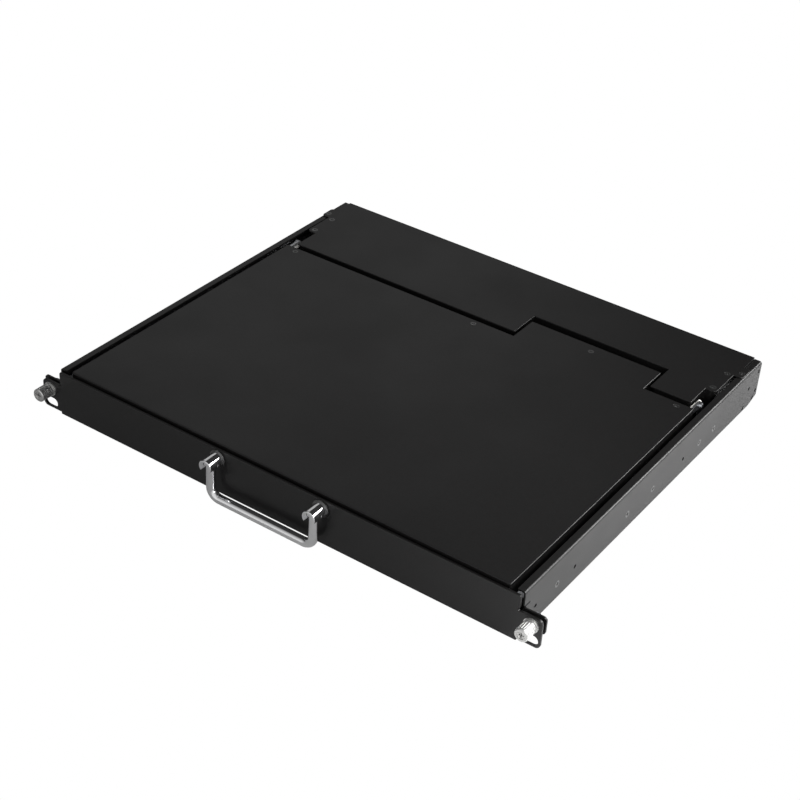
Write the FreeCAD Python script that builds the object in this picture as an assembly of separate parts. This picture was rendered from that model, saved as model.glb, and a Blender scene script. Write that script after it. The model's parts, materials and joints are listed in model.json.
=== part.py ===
import FreeCAD, Part
import math
import os

# Rackmount LCD console drawer, 1U, closed, with its bail handle hanging.
# Millimetres. X to the right, Y into the rack, Z up. The sizes below are measured from the
# drawer's own datum: x = 0 on the middle, y = 0 on the front panel's face, z = 0 on the
# panel's lower edge. The finished parts are moved to the origin given by ORIGIN_SHIFT.

V = FreeCAD.Vector

# ---------------------------------------------------------------- front panel
EAR_SPAN = 482.6                # 19 inch over the ears
EAR_LENGTH = 19.5               # each ear, out from the panel's side
EAR_BOTTOM = 1.9
EAR_MARGIN = 7.2                # from the thumbscrew's middle up to the ear's edge
EAR_CORNER_R = 4.0
EAR_RELIEF_R = 1.3
SLOT_SETBACK = 8.75             # from the ear's end to the middle of its slot
SLOT_Z = 7.8
SLOT_LENGTH = 14.0
SLOT_HEIGHT = 8.6
PANEL_HEIGHT = 41.0
PANEL_T = 2.0
PANEL_LIP = 9.0                 # folded lower lip, front to back
PANEL_LIP_T = 1.6
PANEL_LIP_INSET = 3.0
PANEL_FOOT_R = 0.8
PANEL_SHOULDER_R = 1.6
EDGE_BREAK = 0.5                # softened sheet edges

# ---------------------------------------------------------------- fixed chassis
CHASSIS_OVERHANG = 1.6          # the walls stand this far outside the panel's sides
CHASSIS_FRONT = 4.0
WALL_T = 1.5
WALL_BOTTOM = 3.4
WALL_DROP = 1.0                 # from the lid's top down to the walls' top
TOP_FLANGE = 6.9
BOTTOM_FLANGE = 16.0
BOTTOM_FLANGE_SETBACK = 6.0
BEND_R = 0.8                    # inside radius of the folded sheets
REAR_CHAMFER_Y = 21.0
REAR_CHAMFER_Z = 6.0
EAR_PLATE_OVERHANG = 0.9        # the wall's ear plate, out past the panel's ear
EAR_PLATE_RISE = 1.0            # and up past it
EAR_PLATE_SLOT_GAP = 1.1        # from the rack slot's edge up to the ear plate
EAR_PLATE_BEND_Y = 12.0         # how far back the wall is cut away behind the ear plate
EAR_PLATE_CORNER_R = 3.0
WALL_RELIEF = 1.2               # clear above the ear plate's fold
WALL_HOLE_R = 1.7
WALL_HOLE_Y = (21.0, 77.0, 251.0)
REAR_HOLES = ((4.0, 35.1), (20.0, 25.2), (4.0, 15.8))       # from the rear end, height
REAR_DIMPLES = ((8.5, 10.4), (26.5, 8.4))
DIMPLE_R = 2.2
DIMPLE_DEPTH = 0.4
WALL_SCREW_R = 1.5
WALL_SCREW_HEAD_R = 2.9
WALL_SCREW_HEAD_T = 1.3
INSERT_WALL = 1.4
INSERT_COLLAR = 1.0
INSERT_LENGTH = 5.0
TIE_BAR_Y = 30.0
TIE_BAR_DEPTH = 26.0
TIE_BAR_T = 1.4
TIE_BAR_SIDE_GAP = 1.0
TIE_RIVET_INSET = 9.9           # from the wall's outside
TIE_RIVET_MARGIN = 6.0
TIE_RIVET_R = 1.6
TIE_RIVET_HEAD_R = 2.9
TIE_RIVET_HEAD_T = 0.9

# ---------------------------------------------------------------- telescopic slides
SLIDE_T = 1.2
SLIDE_HALF_HEIGHT = 14.0
SLIDE_FLOOR_GAP = 0.4           # over the wall's lower flange
SLIDE_DEPTH = 10.5              # from the wall to the tray
SLIDE_FRONT = 8.0
SLIDE_REAR_GAP = 46.0
SLIDE_BEND_R = 0.5
OUTER_LIP_GAP = 1.7             # from the outer member's lips to the tray
MIDDLE_LIP_GAP = 1.1            # from the middle member's lips to the inner member's web
INNER_LIP_GAP = 0.5             # from the inner member's lips to the inner cage
MIDDLE_SETBACK = 2.0
MIDDLE_SHORTFALL = 8.0          # the middle member is this much shorter than the outer
MIDDLE_SLOT_FRONT = 40.0
MIDDLE_SLOT_REAR = 60.0
MIDDLE_SLOT_LENGTH = 24.0
MIDDLE_SLOT_HEIGHT = 6.0
OUTER_BALL_R = 1.5
INNER_BALL_R = 1.2
BALL_GAP = 0.15
BALLS_PER_ROW = 3
CAGE_T = 0.4
CAGE_GAP = 0.3
CAGE_BEND_R = 0.2
CAGE_LIP_GAP = 0.6
CAGE_LENGTH = 130.0
OUTER_CAGE_Y = 120.0
INNER_CAGE_Y = 96.0
POCKET_GAP = 0.1
SLIDE_SCREWS = (43.5, 149.5, 191.0, 272.0, 298.5)           # from the slide's front end

# ---------------------------------------------------------------- sliding tray and deck
TRAY_T = 1.2
TRAY_RIDE = 1.1                 # over the walls' lower flanges
TRAY_TOP = 27.2
TRAY_SETBACK = 2.7              # tray's rear wall, behind the lid's rear edge
TRAY_ARM_BOTTOM = 10.0
TRAY_ARM_MARGIN = 2.0           # arms run on behind the hinge's foot
TRAY_FRONT_LIP = 9.0
TRAY_SCREWS = (32.0, 142.0, 254.0)                          # from the slide's front end
TRAY_SCREW_R = 1.5
TRAY_SCREW_HEAD_R = 2.6
TRAY_SCREW_HEAD_T = 1.2
TAIL_SIDE_GAP = 6.0             # clear on both sides of the lid's swinging tail
SWING_GAP = 1.0
WINDOW_X = 120.0                # wiring windows in the tray's and the deck's rear walls
WINDOW_WIDTH = 40.0
WINDOW_HEIGHT = 6.0
WINDOW_RISE = 0.8               # over the tray's floor
DECK_T = 1.2
DECK_DROP = 6.8                 # from the tray's rim down to the deck
DECK_FRONT = 3.6
DECK_SETBACK = 11.0             # from the tray's rear wall
DECK_SCREW_GAP = 0.4            # beside the heads of the tray's screws
STUD_R = 3.0
STUD_INSET_X = 14.0
STUD_INSET_FRONT = 10.0
STUD_INSET_REAR = 18.0
KEYBOARD_SIDE_GAP = 21.2        # from the tray's side to the keyboard
KEY_GAP = 1.4
KEY_ROWS = 6
MAIN_COLUMNS = 15
PAD_COLUMNS = 4
PAD_SPACING = 9.0
KEYBOARD_Y = 124.0
KEYBOARD_MARGIN = 4.0
KEYBOARD_CORNER_R = 2.0
KEYBOARD_T = 6.9
KEYBOARD_STAND = 0.5            # over the deck
KEY_LIFT = 1.5
KEY_HEIGHT = 3.2
KEY_TAPER = 1.6
KEY_STEM = 4.0
SPACE_BAR_COLUMNS = 6
SPACE_BAR_TRAVEL = 1.2
SPACE_BAR_SEAT = 1.0            # how deep its stems stand in their wells at rest
WELL_FLOOR = 2.0
TOUCHPAD_WIDTH = 90.0
TOUCHPAD_DEPTH = 54.0
TOUCHPAD_Y = 34.0
TOUCHPAD_STAND = 0.2
TOUCHPAD_FLANGE = 3.0
TOUCHPAD_FLANGE_T = 1.6
PAD_BUTTON_DEPTH = 11.0
PAD_BUTTON_Y = 19.0
PAD_BUTTON_T = 1.2
PAD_BUTTON_STAND = 0.6
PAD_BUTTON_SPLIT = 0.6          # half the bridge between the two buttons
PAD_BUTTON_FLANGE = 1.5
PAD_BUTTON_REAR_FLANGE = 1.0
PAD_BUTTON_EDGE_R = 0.4
FIT_GAP = 0.4
SEAT_GAP = 0.3
BUMPER_X = 150.0
BUMPER_R = 3.5

# ---------------------------------------------------------------- screen lid
LID_SIDE_GAP = 0.5              # the lid stands in from the tray's sides
LID_FRONT = 3.8
LID_REAR = 287.3
LID_TAIL_LENGTH = 31.2          # the electronics bulge behind the lid's rear edge
LID_TAIL_LEFT = 36.5
LID_TAIL_RIGHT = 164.2
LID_SEAT = 1.2                  # from the tray's rim up to the lid
LID_HEIGHT = 15.4
LID_T = 1.2
LID_CORNER_R = 1.2
LID_EDGE_R = 0.7
BEZEL_T = 2.0
BEZEL_INSET = 0.4
BEZEL_CORNER_R = 1.0
SCREEN_SIDE_MARGIN = 19.9
SCREEN_REAR_MARGIN = 38.3
SCREEN_FRONT = 34.0
SCREEN_RIM = 4.0
SCREEN_T = 7.0
LID_SCREW_R = 1.3
LID_SCREW_HEAD_R = 2.6
LID_SCREW_HEAD_T = 0.9
LID_SCREW_INSET = 13.3          # from the lid's side
LID_SCREW_SETBACK = 6.0         # from the lid's rear edge
LID_MIDDLE_SCREW_X = -1.0
TAIL_SCREW_INSET = 65.0         # from the tail's left side
TAIL_SCREW_SETBACK = 9.8
OSD_NAMES = ("menu", "minus", "plus", "power")
OSD_BUTTON_R = 2.4
OSD_BUTTON_SETBACK = 19.3
OSD_BUTTON_INSET = 90.9          # first button, in from the lid's side
OSD_BUTTON_PITCH = 12.0
OSD_BUTTON_STAND = 0.6
OSD_FLANGE = 1.0
OSD_FLANGE_T = 0.8
DRIVER_MARGIN = 5.0             # screen electronics, in from the tail's sides
DRIVER_REAR_GAP = 4.0
DRIVER_BOARD_T = 1.4
SPACER_HEIGHT = 4.6
SPACER_R = 2.2
BOSS_R = 2.6
CHIP_INSET = 20.0
CHIP_SIZE = 14.0
CHIP_T = 2.0
PLUG_INSET = 60.0
PLUG_WIDTH = 24.0
PLUG_DEPTH = 6.0
PLUG_T = 2.4

# ---------------------------------------------------------------- lid hinges
HINGE_SETBACK = 13.7            # hinge line, behind the lid's rear edge
HINGE_DROP = 4.6                # and below the lid's top
KNUCKLE_R = 3.3
HINGE_PIN_R = 1.5
HINGE_PIN_HEAD_R = 2.3
HINGE_PIN_HEAD_T = 0.7
HINGE_PIN_PLAY = 0.05
LEAF_ARM_T = 1.7
LEAF_T = 1.4
LEAF_WIDTH = 18.0
LEAF_LENGTH = 16.0
LEAF_TOE = 5.0
LEAF_TOE_R = 2.0
BASE_ARM_T = 1.7
BASE_FOOT_HALF = 9.0
BASE_FOOT_GAP = 0.5             # over the arm's lower edge
BASE_JOGGLE = 2.0
BASE_JOGGLE_RISE = 0.8
BASE_BEND_R = 0.4
BASE_NECK = 10.0
BASE_SHOULDER_R = 3.0
BASE_TOE_R = 1.0
CUTTER_REACH = 10.0             # how far the hinge's cutters run past it
HINGE_GAP = 0.3
HINGE_RIVET_R = 1.4
HINGE_RIVET_HEAD_R = 2.2
HINGE_RIVET_HEAD_T = 0.8
HINGE_RIVET_Z = 14.5
HINGE_RIVET_REACH = (-4.5, 5.5)                             # along the foot, from the pin
LID_NOTCH = 11.4                # opening in the lid's rear wall for hinge and cable
LID_NOTCH_HEIGHT = 7.0
CABLE_R = 1.3
CABLE_GAP = 0.5                 # between the cable and the hinge beside it
CABLE_EXIT_Z = 14.0

# ---------------------------------------------------------------- rear housing
HOUSING_DEPTH = 71.0            # behind the hinge notches
NOTCH_DEPTH = 20.0              # from the hinge line back to the notch's rear
COVER_T = 1.4
COVER_LID_GAP = 6.2
COVER_RECESS_GAP = 8.5          # behind the lid's tail
COVER_RECESS_SIDE_GAP = 2.65    # on both sides of it
COVER_NOTCH_GAP = 0.3           # beside the lead in the notch
COVER_FLANGE_GAP = 2.3          # cover's side, in from the wall's flange
COVER_TAB_INSET = 1.0           # tab's end, in from the wall's outside
COVER_TAB_SETBACK = 21.0
COVER_TAB_LENGTH = 16.0
COVER_TAIL_GAP = 0.5            # behind the tabs, in from the wall's flange
COVER_REAR_GAP = 0.2
COVER_CORNER_R = 1.0
COVER_SHOULDER_R = 3.5
COVER_TAB_R = 3.0
COVER_RECESS_R = 0.6
COVER_SCREW_R = 1.5
COVER_SCREW_HEAD_R = 2.9
COVER_SCREW_HEAD_T = 0.9
COVER_SCREW_INSET = 5.2
COVER_SCREW_FRONT = 5.0         # behind the notch
COVER_SCREW_REAR = 2.2          # in front of the tab
TAB_SCREW_INSET = 3.4
TAB_SCREW_SETBACK = 6.0
SCREW_PLAY = 0.1
THREAD_PLAY = 0.05
HOUSING_T = 1.2
HOUSING_SETBACK = 2.2
HOUSING_SIDE_GAP = 0.2
HOUSING_REAR_GAP = 4.0
SHOULDER_SETBACK = 1.2
HOUSING_TAB = 4.5
HOUSING_TAB_HALF = 4.0
HOUSING_FLOOR_T = 1.2
CABLE_WINDOW_X = -120.0
CABLE_WINDOW_W = 44.0
CABLE_WINDOW_Z = 12.0
CABLE_WINDOW_H = 14.0
VENT_COUNT = 10
VENT_PITCH = 7.0
VENT_W = 3.0
VENT_INSET = 16.4               # first vent, from the tray's side line
VENT_SETBACK = 47.0             # vents, forward from the rear end
VENT_LENGTH = 26.0
REAR_RETURN = 13.0              # folded sides of the rear panel
REAR_PANEL_GAP = 0.6            # over the walls' rear chamfer
FLANGE_GAP = 0.3
FLANGE_SIDE_GAP = 0.4
BOARD_X0 = -100.0
BOARD_X1 = 96.0
BOARD_FRONT = 58.0              # board's front edge, forward from the rear end
BOARD_REAR_GAP = 6.0
BOARD_T = 1.6
BOARD_STANDOFF = 3.0
STANDOFF_R = 2.6
STANDOFF_INSET = 6.0
STANDOFF_REAR = 14.0
BOARD_CHIPS = ((-40.0, 12.0, 16.0, 16.0, 1.6), (12.0, 6.0, 12.0, 9.0, 1.4),
               (50.0, 10.0, 10.0, 10.0, 8.0), (-86.0, 8.0, 22.0, 6.0, 6.0))
PORT_GAP = 0.3
PORT_SETBACK = 1.5              # port bodies behind the panel's face
VIDEO_X = -60.0
VIDEO_SIZE = (31.0, 12.6)
VIDEO_DEPTH = 14.5
VIDEO_SHELL_HALF = 7.6
VIDEO_SHELL_FLARE = 1.0
VIDEO_SHELL_MARGIN = 2.2
VIDEO_SHELL_R = 1.2
VIDEO_SHELL_WALL = 0.6
VIDEO_SHELL_LENGTH = 6.0
VIDEO_NUT_X = 12.5
VIDEO_NUT_R = 2.4
VIDEO_NUT_LENGTH = 4.5
USB_X = 0.0
USB_SIZE = (13.4, 15.2)
USB_DEPTH = 14.0
USB_STAND = 0.6
USB_WALL = 0.7
USB_MOUTH = 5.6
USB_MOUTH_DEPTH = 9.0
USB_LOWER_Z = 1.2
USB_UPPER_Z = 8.2
TONGUE_INSET = 1.2
TONGUE_Z = 3.2
TONGUE_T = 1.8
INLET_X = 60.0
INLET_SIZE = (11.0, 11.0)
INLET_DEPTH = 12.0
INLET_STAND = 0.4
INLET_BORE_R = 3.2
INLET_BORE_DEPTH = 8.0
ROCKER_X = 120.0
ROCKER_SIZE = (21.0, 15.0)
ROCKER_Z = 12.0
ROCKER_BODY_DEPTH = 14.0
ROCKER_POCKET_DEPTH = 8.0
ROCKER_RIM = 1.5
ROCKER_RIM_T = 1.6
ROCKER_SIDE_WALL = 2.0
ROCKER_ANGLE = 9.0
ROCKER_PIVOT_SETBACK = 4.0
ROCKER_KEEL = 2.6
ROCKER_CROWN = 1.2
TRUNNION_R = 1.2
TRUNNION_LENGTH = 1.0           # into the frame on each side

# ---------------------------------------------------------------- bail handle
HANDLE_X = -3.0                 # middle of the handle
HANDLE_SPACING = 100.0
HANDLE_DROP = 8.0               # from the panel's upper edge
POST_LENGTH = 15.0
POST_BACK = 3.2                 # solid base of the post behind its fork
POST_EDGE_R = 0.8
FORK_CHEEK = 1.8
EYE_GAP = 0.3
BAIL_R = 3.9
BAIL_DROP = 35.0
BAIL_CORNER_R = 9.0
BAIL_SIDE_GAP = 0.3
PIVOT_PIN_R = 1.5
PIVOT_PIN_PLAY = 0.08
BASE_WASHER_RIM = 1.4
BASE_WASHER_T = 1.2
HANDLE_SCREW_R = 1.9
HANDLE_SCREW_HEAD_R = 3.6
HANDLE_SCREW_HEAD_T = 1.6
HANDLE_SCREW_GAP = 0.4          # from the screw's end to the fork

# ---------------------------------------------------------------- thumbscrews
THUMB_RISE = 12.8               # thumbscrew over the rack slot
KNOB_R = 5.7
KNOB_LENGTH = 12.0
KNOB_CHAMFER = 0.7
KNOB_RIBS = 18
KNOB_RIB_R = 0.45
KNOB_RIB_INSET = 1.6
KNOB_FACE_RIM = 2.4
KNOB_FACE_DEPTH = 0.8
KNOB_CROSS = 4.6
KNOB_CROSS_DEPTH = 1.8
SHANK_R = 2.9
SHANK_TIP_Y = 9.0
SHANK_CHAMFER = 0.8
THREAD_GAP = 0.1
FERRULE_WALL = 1.4
FERRULE_FLANGE = 1.9
FERRULE_T = 1.2
KNOB_LIFT = 0.1                 # play under the knob and under its washer
WASHER_T = 1.0
WASHER_RIM = 2.0

# ---------------------------------------------------------------- derived: across
SIDES = (("left", -1), ("right", 1))
ORIGIN_SHIFT = V(0.0, -PANEL_T, -SLOT_Z)
PANEL_WIDTH = EAR_SPAN - 2 * EAR_LENGTH
RACK_HOLE_SPACING = EAR_SPAN - 2 * SLOT_SETBACK
EAR_PLATE_SPAN = EAR_SPAN + 2 * EAR_PLATE_OVERHANG
WALL_X = PANEL_WIDTH / 2.0 + CHASSIS_OVERHANG
WALL_INNER_X = WALL_X - WALL_T
TRAY_X = WALL_INNER_X - SLIDE_DEPTH
LID_X = TRAY_X - LID_SIDE_GAP
MIDDLE_WEB = SLIDE_T + CAGE_T + 2 * CAGE_GAP     # from the wall to the middle member's web
OUTER_LIP = SLIDE_DEPTH - OUTER_LIP_GAP
MIDDLE_LIP = SLIDE_DEPTH - SLIDE_T - MIDDLE_LIP_GAP - MIDDLE_WEB
INNER_LIP = SLIDE_DEPTH - MIDDLE_WEB - SLIDE_T - CAGE_GAP - CAGE_T - INNER_LIP_GAP
SCREEN_WIDTH = 2 * (LID_X - SCREEN_SIDE_MARGIN)
OSD_BUTTON_X = LID_X - OSD_BUTTON_INSET
LEAF_X = LID_X - LID_T                           # outer face of the hinge's moving arm
BASE_KNUCKLE_X = LEAF_X + HINGE_GAP              # inner face of the fixed knuckle
BASE_FOOT_X = TRAY_X - TRAY_T                    # outer face of the fixed arm's foot
CABLE_X = LEAF_X - LEAF_ARM_T - CABLE_GAP - CABLE_R
DECK_X = TRAY_X - TRAY_T - TRAY_SCREW_HEAD_T - DECK_SCREW_GAP
KEYBOARD_X = TRAY_X - TRAY_T - KEYBOARD_SIDE_GAP
KEY_BLOCK = 2 * (KEYBOARD_X - KEYBOARD_MARGIN)
KEY_PITCH = (KEY_BLOCK - PAD_SPACING) / (MAIN_COLUMNS + PAD_COLUMNS)
FLANGE_X = WALL_X - TOP_FLANGE                   # inner edge of the walls' top flanges
COVER_NOTCH_X = CABLE_X - CABLE_R - COVER_NOTCH_GAP
COVER_SIDE_X = FLANGE_X - COVER_FLANGE_GAP
COVER_TAB_X = WALL_X - COVER_TAB_INSET
COVER_REAR_X = FLANGE_X - COVER_TAIL_GAP
COVER_RECESS_LEFT = LID_TAIL_LEFT - COVER_RECESS_SIDE_GAP
COVER_RECESS_RIGHT = LID_TAIL_RIGHT + COVER_RECESS_SIDE_GAP
FLOOR_X = WALL_INNER_X - OUTER_LIP - SEAT_GAP
VENT_X = VENT_INSET - TRAY_X
TIE_RIVET_X = WALL_X - TIE_RIVET_INSET

# ---------------------------------------------------------------- derived: heights
THUMB_Z = SLOT_Z + THUMB_RISE
EAR_TOP = THUMB_Z + EAR_MARGIN
EAR_PLATE_BOTTOM = SLOT_Z + SLOT_HEIGHT / 2.0 + EAR_PLATE_SLOT_GAP
EAR_PLATE_TOP = EAR_TOP + EAR_PLATE_RISE
HANDLE_Z = PANEL_HEIGHT - HANDLE_DROP
FLOOR_BOTTOM = WALL_BOTTOM + WALL_T
FLOOR_TOP = FLOOR_BOTTOM + HOUSING_FLOOR_T
SLIDE_Z = FLOOR_BOTTOM + SLIDE_FLOOR_GAP + SLIDE_HALF_HEIGHT
OUTER_ROW = SLIDE_HALF_HEIGHT - SLIDE_T - BALL_GAP - OUTER_BALL_R
MIDDLE_HALF_HEIGHT = OUTER_ROW - OUTER_BALL_R - BALL_GAP
INNER_ROW = MIDDLE_HALF_HEIGHT - SLIDE_T - BALL_GAP - INNER_BALL_R
INNER_HALF_HEIGHT = INNER_ROW - INNER_BALL_R - BALL_GAP
TRAY_BOTTOM = FLOOR_BOTTOM + TRAY_RIDE
TRAY_FLOOR = TRAY_BOTTOM + TRAY_T
DECK_TOP = TRAY_TOP - DECK_DROP
KEYBOARD_TOP = DECK_TOP + KEYBOARD_STAND
KEYBOARD_BOTTOM = KEYBOARD_TOP - KEYBOARD_T
KEY_BOTTOM = KEYBOARD_TOP + KEY_LIFT
KEY_TOP = KEY_BOTTOM + KEY_HEIGHT
WINDOW_Z = TRAY_FLOOR + WINDOW_RISE
LID_BOTTOM = TRAY_TOP + LID_SEAT
LID_TOP = LID_BOTTOM + LID_HEIGHT
HINGE_Z = LID_TOP - HINGE_DROP
WALL_TOP = LID_TOP - WALL_DROP
COVER_TOP = WALL_TOP + COVER_T
PORT_Z = FLOOR_TOP + BOARD_STANDOFF + BOARD_T

# ---------------------------------------------------------------- derived: front to back
HINGE_Y = LID_REAR + HINGE_SETBACK
LID_TAIL_REAR = LID_REAR + LID_TAIL_LENGTH
TRAY_REAR = LID_REAR + TRAY_SETBACK
TRAY_ARM_REAR = HINGE_Y + BASE_FOOT_HALF + TRAY_ARM_MARGIN
TAIL_REACH = math.hypot(LID_TAIL_REAR - HINGE_Y, HINGE_Z - LID_BOTTOM)
RELIEF_BOTTOM = HINGE_Z - TAIL_REACH - SWING_GAP
DECK_REAR = TRAY_REAR - DECK_SETBACK
KEYBOARD_DEPTH = KEY_ROWS * KEY_PITCH + 2 * KEYBOARD_MARGIN
SCREEN_DEPTH = LID_REAR - SCREEN_REAR_MARGIN - SCREEN_FRONT
OSD_BUTTON_Y = LID_REAR - OSD_BUTTON_SETBACK
COVER_FRONT = LID_REAR + COVER_LID_GAP
COVER_RECESS_REAR = LID_TAIL_REAR + COVER_RECESS_GAP
COVER_NOTCH_REAR = HINGE_Y + NOTCH_DEPTH
CHASSIS_REAR = COVER_NOTCH_REAR + HOUSING_DEPTH
COVER_REAR = CHASSIS_REAR - COVER_REAR_GAP
COVER_TAB_REAR = CHASSIS_REAR - COVER_TAB_SETBACK
COVER_TAB_FRONT = COVER_TAB_REAR - COVER_TAB_LENGTH
REAR_RETURN_Y = CHASSIS_REAR - REAR_RETURN
BOARD_Y = CHASSIS_REAR - BOARD_FRONT
VENT_Y = CHASSIS_REAR - VENT_SETBACK
ROCKER_PIVOT_Y = CHASSIS_REAR - ROCKER_PIVOT_SETBACK
OUTER_LENGTH = CHASSIS_REAR - SLIDE_REAR_GAP - SLIDE_FRONT
MIDDLE_LENGTH = OUTER_LENGTH - MIDDLE_SHORTFALL
INNER_LENGTH = TRAY_ARM_REAR - SLIDE_FRONT
PIVOT_Y = -(BASE_WASHER_T + POST_BACK + EYE_GAP + BAIL_R)

# ---------------------------------------------------------------- derived: rounds and places
POST_R = BAIL_R + BAIL_SIDE_GAP + FORK_CHEEK
BASE_WASHER_R = POST_R + BASE_WASHER_RIM
SHANK_BORE_R = SHANK_R + THREAD_GAP
FERRULE_BARREL_R = SHANK_BORE_R + FERRULE_WALL
FERRULE_R = FERRULE_BARREL_R + FERRULE_FLANGE
WASHER_R = SHANK_BORE_R + WASHER_RIM
INSERT_R = SHANK_BORE_R + INSERT_WALL
INSERT_COLLAR_R = INSERT_R + INSERT_COLLAR
SLIDE_SCREW_Y = tuple(SLIDE_FRONT + y for y in SLIDE_SCREWS)
TRAY_SCREW_Y = tuple(SLIDE_FRONT + y for y in TRAY_SCREWS)
REAR_HOLE_YZ = tuple((CHASSIS_REAR - y, z) for y, z in REAR_HOLES)
REAR_DIMPLE_YZ = tuple((CHASSIS_REAR - y, z) for y, z in REAR_DIMPLES)
TIE_RIVET_Y = (TIE_BAR_Y + TIE_RIVET_MARGIN, TIE_BAR_Y + TIE_BAR_DEPTH - TIE_RIVET_MARGIN)
HINGE_RIVET_YZ = tuple((HINGE_Y + y, HINGE_RIVET_Z) for y in HINGE_RIVET_REACH)
LID_SCREW_XY = ((-(LID_X - LID_SCREW_INSET), LID_REAR - LID_SCREW_SETBACK),
                (LID_MIDDLE_SCREW_X, LID_REAR - LID_SCREW_SETBACK),
                (LID_TAIL_LEFT + TAIL_SCREW_INSET, LID_TAIL_REAR - TAIL_SCREW_SETBACK),
                (LID_X - LID_SCREW_INSET, LID_REAR - LID_SCREW_SETBACK))
COVER_SCREW_XY = ((COVER_SIDE_X - COVER_SCREW_INSET, COVER_NOTCH_REAR + COVER_SCREW_FRONT),
                  (COVER_SIDE_X - COVER_SCREW_INSET, COVER_TAB_FRONT - COVER_SCREW_REAR),
                  (COVER_TAB_X - TAB_SCREW_INSET, COVER_TAB_FRONT + TAB_SCREW_SETBACK))
PORT_CUTOUTS = tuple(
    (x, z - PORT_GAP, w + 2 * PORT_GAP, h + 2 * PORT_GAP) for x, z, (w, h) in (
        (VIDEO_X, PORT_Z, VIDEO_SIZE), (USB_X, PORT_Z, USB_SIZE),
        (INLET_X, PORT_Z, INLET_SIZE), (ROCKER_X, ROCKER_Z, ROCKER_SIZE)))


# ================================================================ drawing helpers
def box(x0, x1, y0, y1, z0, z1):
    return Part.makeBox(x1 - x0, y1 - y0, z1 - z0, V(x0, y0, z0))


def rod(start, direction, radius, length):
    return Part.makeCylinder(radius, length, start, direction)


def on_xy(z):
    return lambda u, v: V(u, v, z)


def on_xz(y):
    return lambda u, v: V(u, y, v)


def on_yz(x):
    return lambda u, v: V(x, u, v)


def rounded_face(corners, place):
    """Face inside (u, v, radius) corners; a radius of 0 leaves the corner sharp."""
    count = len(corners)
    joints = []
    for i, (u, v, radius) in enumerate(corners):
        here = V(u, v, 0)
        before = V(corners[i - 1][0], corners[i - 1][1], 0) - here
        after = V(corners[(i + 1) % count][0], corners[(i + 1) % count][1], 0) - here
        before.normalize()
        after.normalize()
        if radius <= 0:
            joints.append((here, here, None))
            continue
        half = before.getAngle(after) / 2.0
        middle = before + after
        middle.normalize()
        reach = radius / math.tan(half)
        centre = here + middle * (radius / math.sin(half))
        joints.append((here + before * reach, here + after * reach, centre - middle * radius))
    edges = []
    for i, (first, last, bulge) in enumerate(joints):
        if bulge is not None:
            points = [place(p.x, p.y) for p in (first, bulge, last)]
            edges.append(Part.Arc(*points).toShape())
        start = place(last.x, last.y)
        end = place(joints[(i + 1) % count][0].x, joints[(i + 1) % count][0].y)
        if start.distanceToPoint(end) > 1e-6:
            edges.append(Part.LineSegment(start, end).toShape())
    return Part.Face(Part.Wire(edges))


def bent_sheet(path, thickness, place, direction, bend=BEND_R):
    """Sheet folded along the (u, v) middle line, pulled out along direction."""
    points = [V(u, v, 0) for u, v in path]
    sides = {1: [], -1: []}
    for i, here in enumerate(points):
        ahead = (points[i + 1] - here) if i + 1 < len(points) else (here - points[i - 1])
        behind = (here - points[i - 1]) if i else ahead
        ahead.normalize()
        behind = V(behind)
        behind.normalize()
        turn = behind.x * ahead.y - behind.y * ahead.x
        normal = V(-behind.y - ahead.y, behind.x + ahead.x, 0)
        normal.normalize()
        stretch = 1.0 / math.sqrt((1.0 + behind.dot(ahead)) / 2.0)
        for side in sides:
            corner = here + normal * (side * stretch * thickness / 2.0)
            radius = 0.0
            if abs(turn) > 1e-6:
                radius = bend if side * turn > 0 else bend + thickness
            sides[side].append((corner.x, corner.y, radius))
    outline = sides[1] + sides[-1][::-1]
    return rounded_face(outline, place).extrude(direction)


def mirrored(shape):
    return shape.mirror(V(0, 0, 0), V(1, 0, 0))


def sided(shape, sign):
    """A part drawn for the right side, put on the side that sign gives."""
    return shape if sign > 0 else mirrored(shape)


def edges_at(shape, test):
    return [e for e in shape.Edges if test(e.BoundBox)]


def cross_recess(point, direction, size, depth):
    """Cutter for a cross-head recess sunk from point against direction."""
    base = point - direction * depth
    flat = V(1, 0, 0) if abs(direction.x) < 0.5 else V(0, 1, 0)
    other = direction.cross(flat)
    blades = []
    for along, across in ((flat, other), (other, flat)):
        corner = base - along * (size / 2.0) - across * (size / 8.0)
        face = Part.Face(Part.makePolygon([
            corner, corner + along * size, corner + along * size + across * (size / 4.0),
            corner + across * (size / 4.0), corner]))
        blades.append(face.extrude(direction * (depth * 2.0)))
    return blades[0].fuse(blades[1])


def flush_screw(point, direction, head_r, head_t, shank_r, length):
    """Countersunk screw whose head is flush at point, direction pointing out of the head."""
    inward = direction * -1.0
    head = Part.makeCone(head_r, shank_r, head_t, point, inward)
    shank = rod(point, inward, shank_r, length)
    return head.fuse(shank).cut(cross_recess(point, direction, head_r * 1.2, head_t * 0.6))


def flush_hole(point, direction, head_r, head_t, shank_r, length):
    inward = direction * -1.0
    return Part.makeCone(head_r, shank_r, head_t, point, inward).fuse(
        rod(point, inward, shank_r, length))


def pan_screw(point, direction, head_r, head_t, shank_r, length):
    """Plain low-headed screw seated on a face at point, direction pointing out of the head."""
    head = rod(point, direction, head_r, head_t)
    rim = [e for e in head.Edges if e.Curve.TypeId == "Part::GeomCircle"
           and abs((e.Curve.Center - point).dot(direction) - head_t) < 1e-6]
    head = head.makeChamfer(head_t * 0.4, rim)
    return head.fuse(rod(point, direction * -1.0, shank_r, length))


def save(name, shape):
    """Write one sub-part, moved to the drawer's origin."""
    shape = shape.copy()
    shape.translate(ORIGIN_SHIFT)
    for solid in shape.Solids:
        if not solid.isValid() or solid.Volume <= 0:
            raise ValueError("bad solid in " + name)
    shape.exportStep(os.path.join("parts", name + ".step"))


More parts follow.
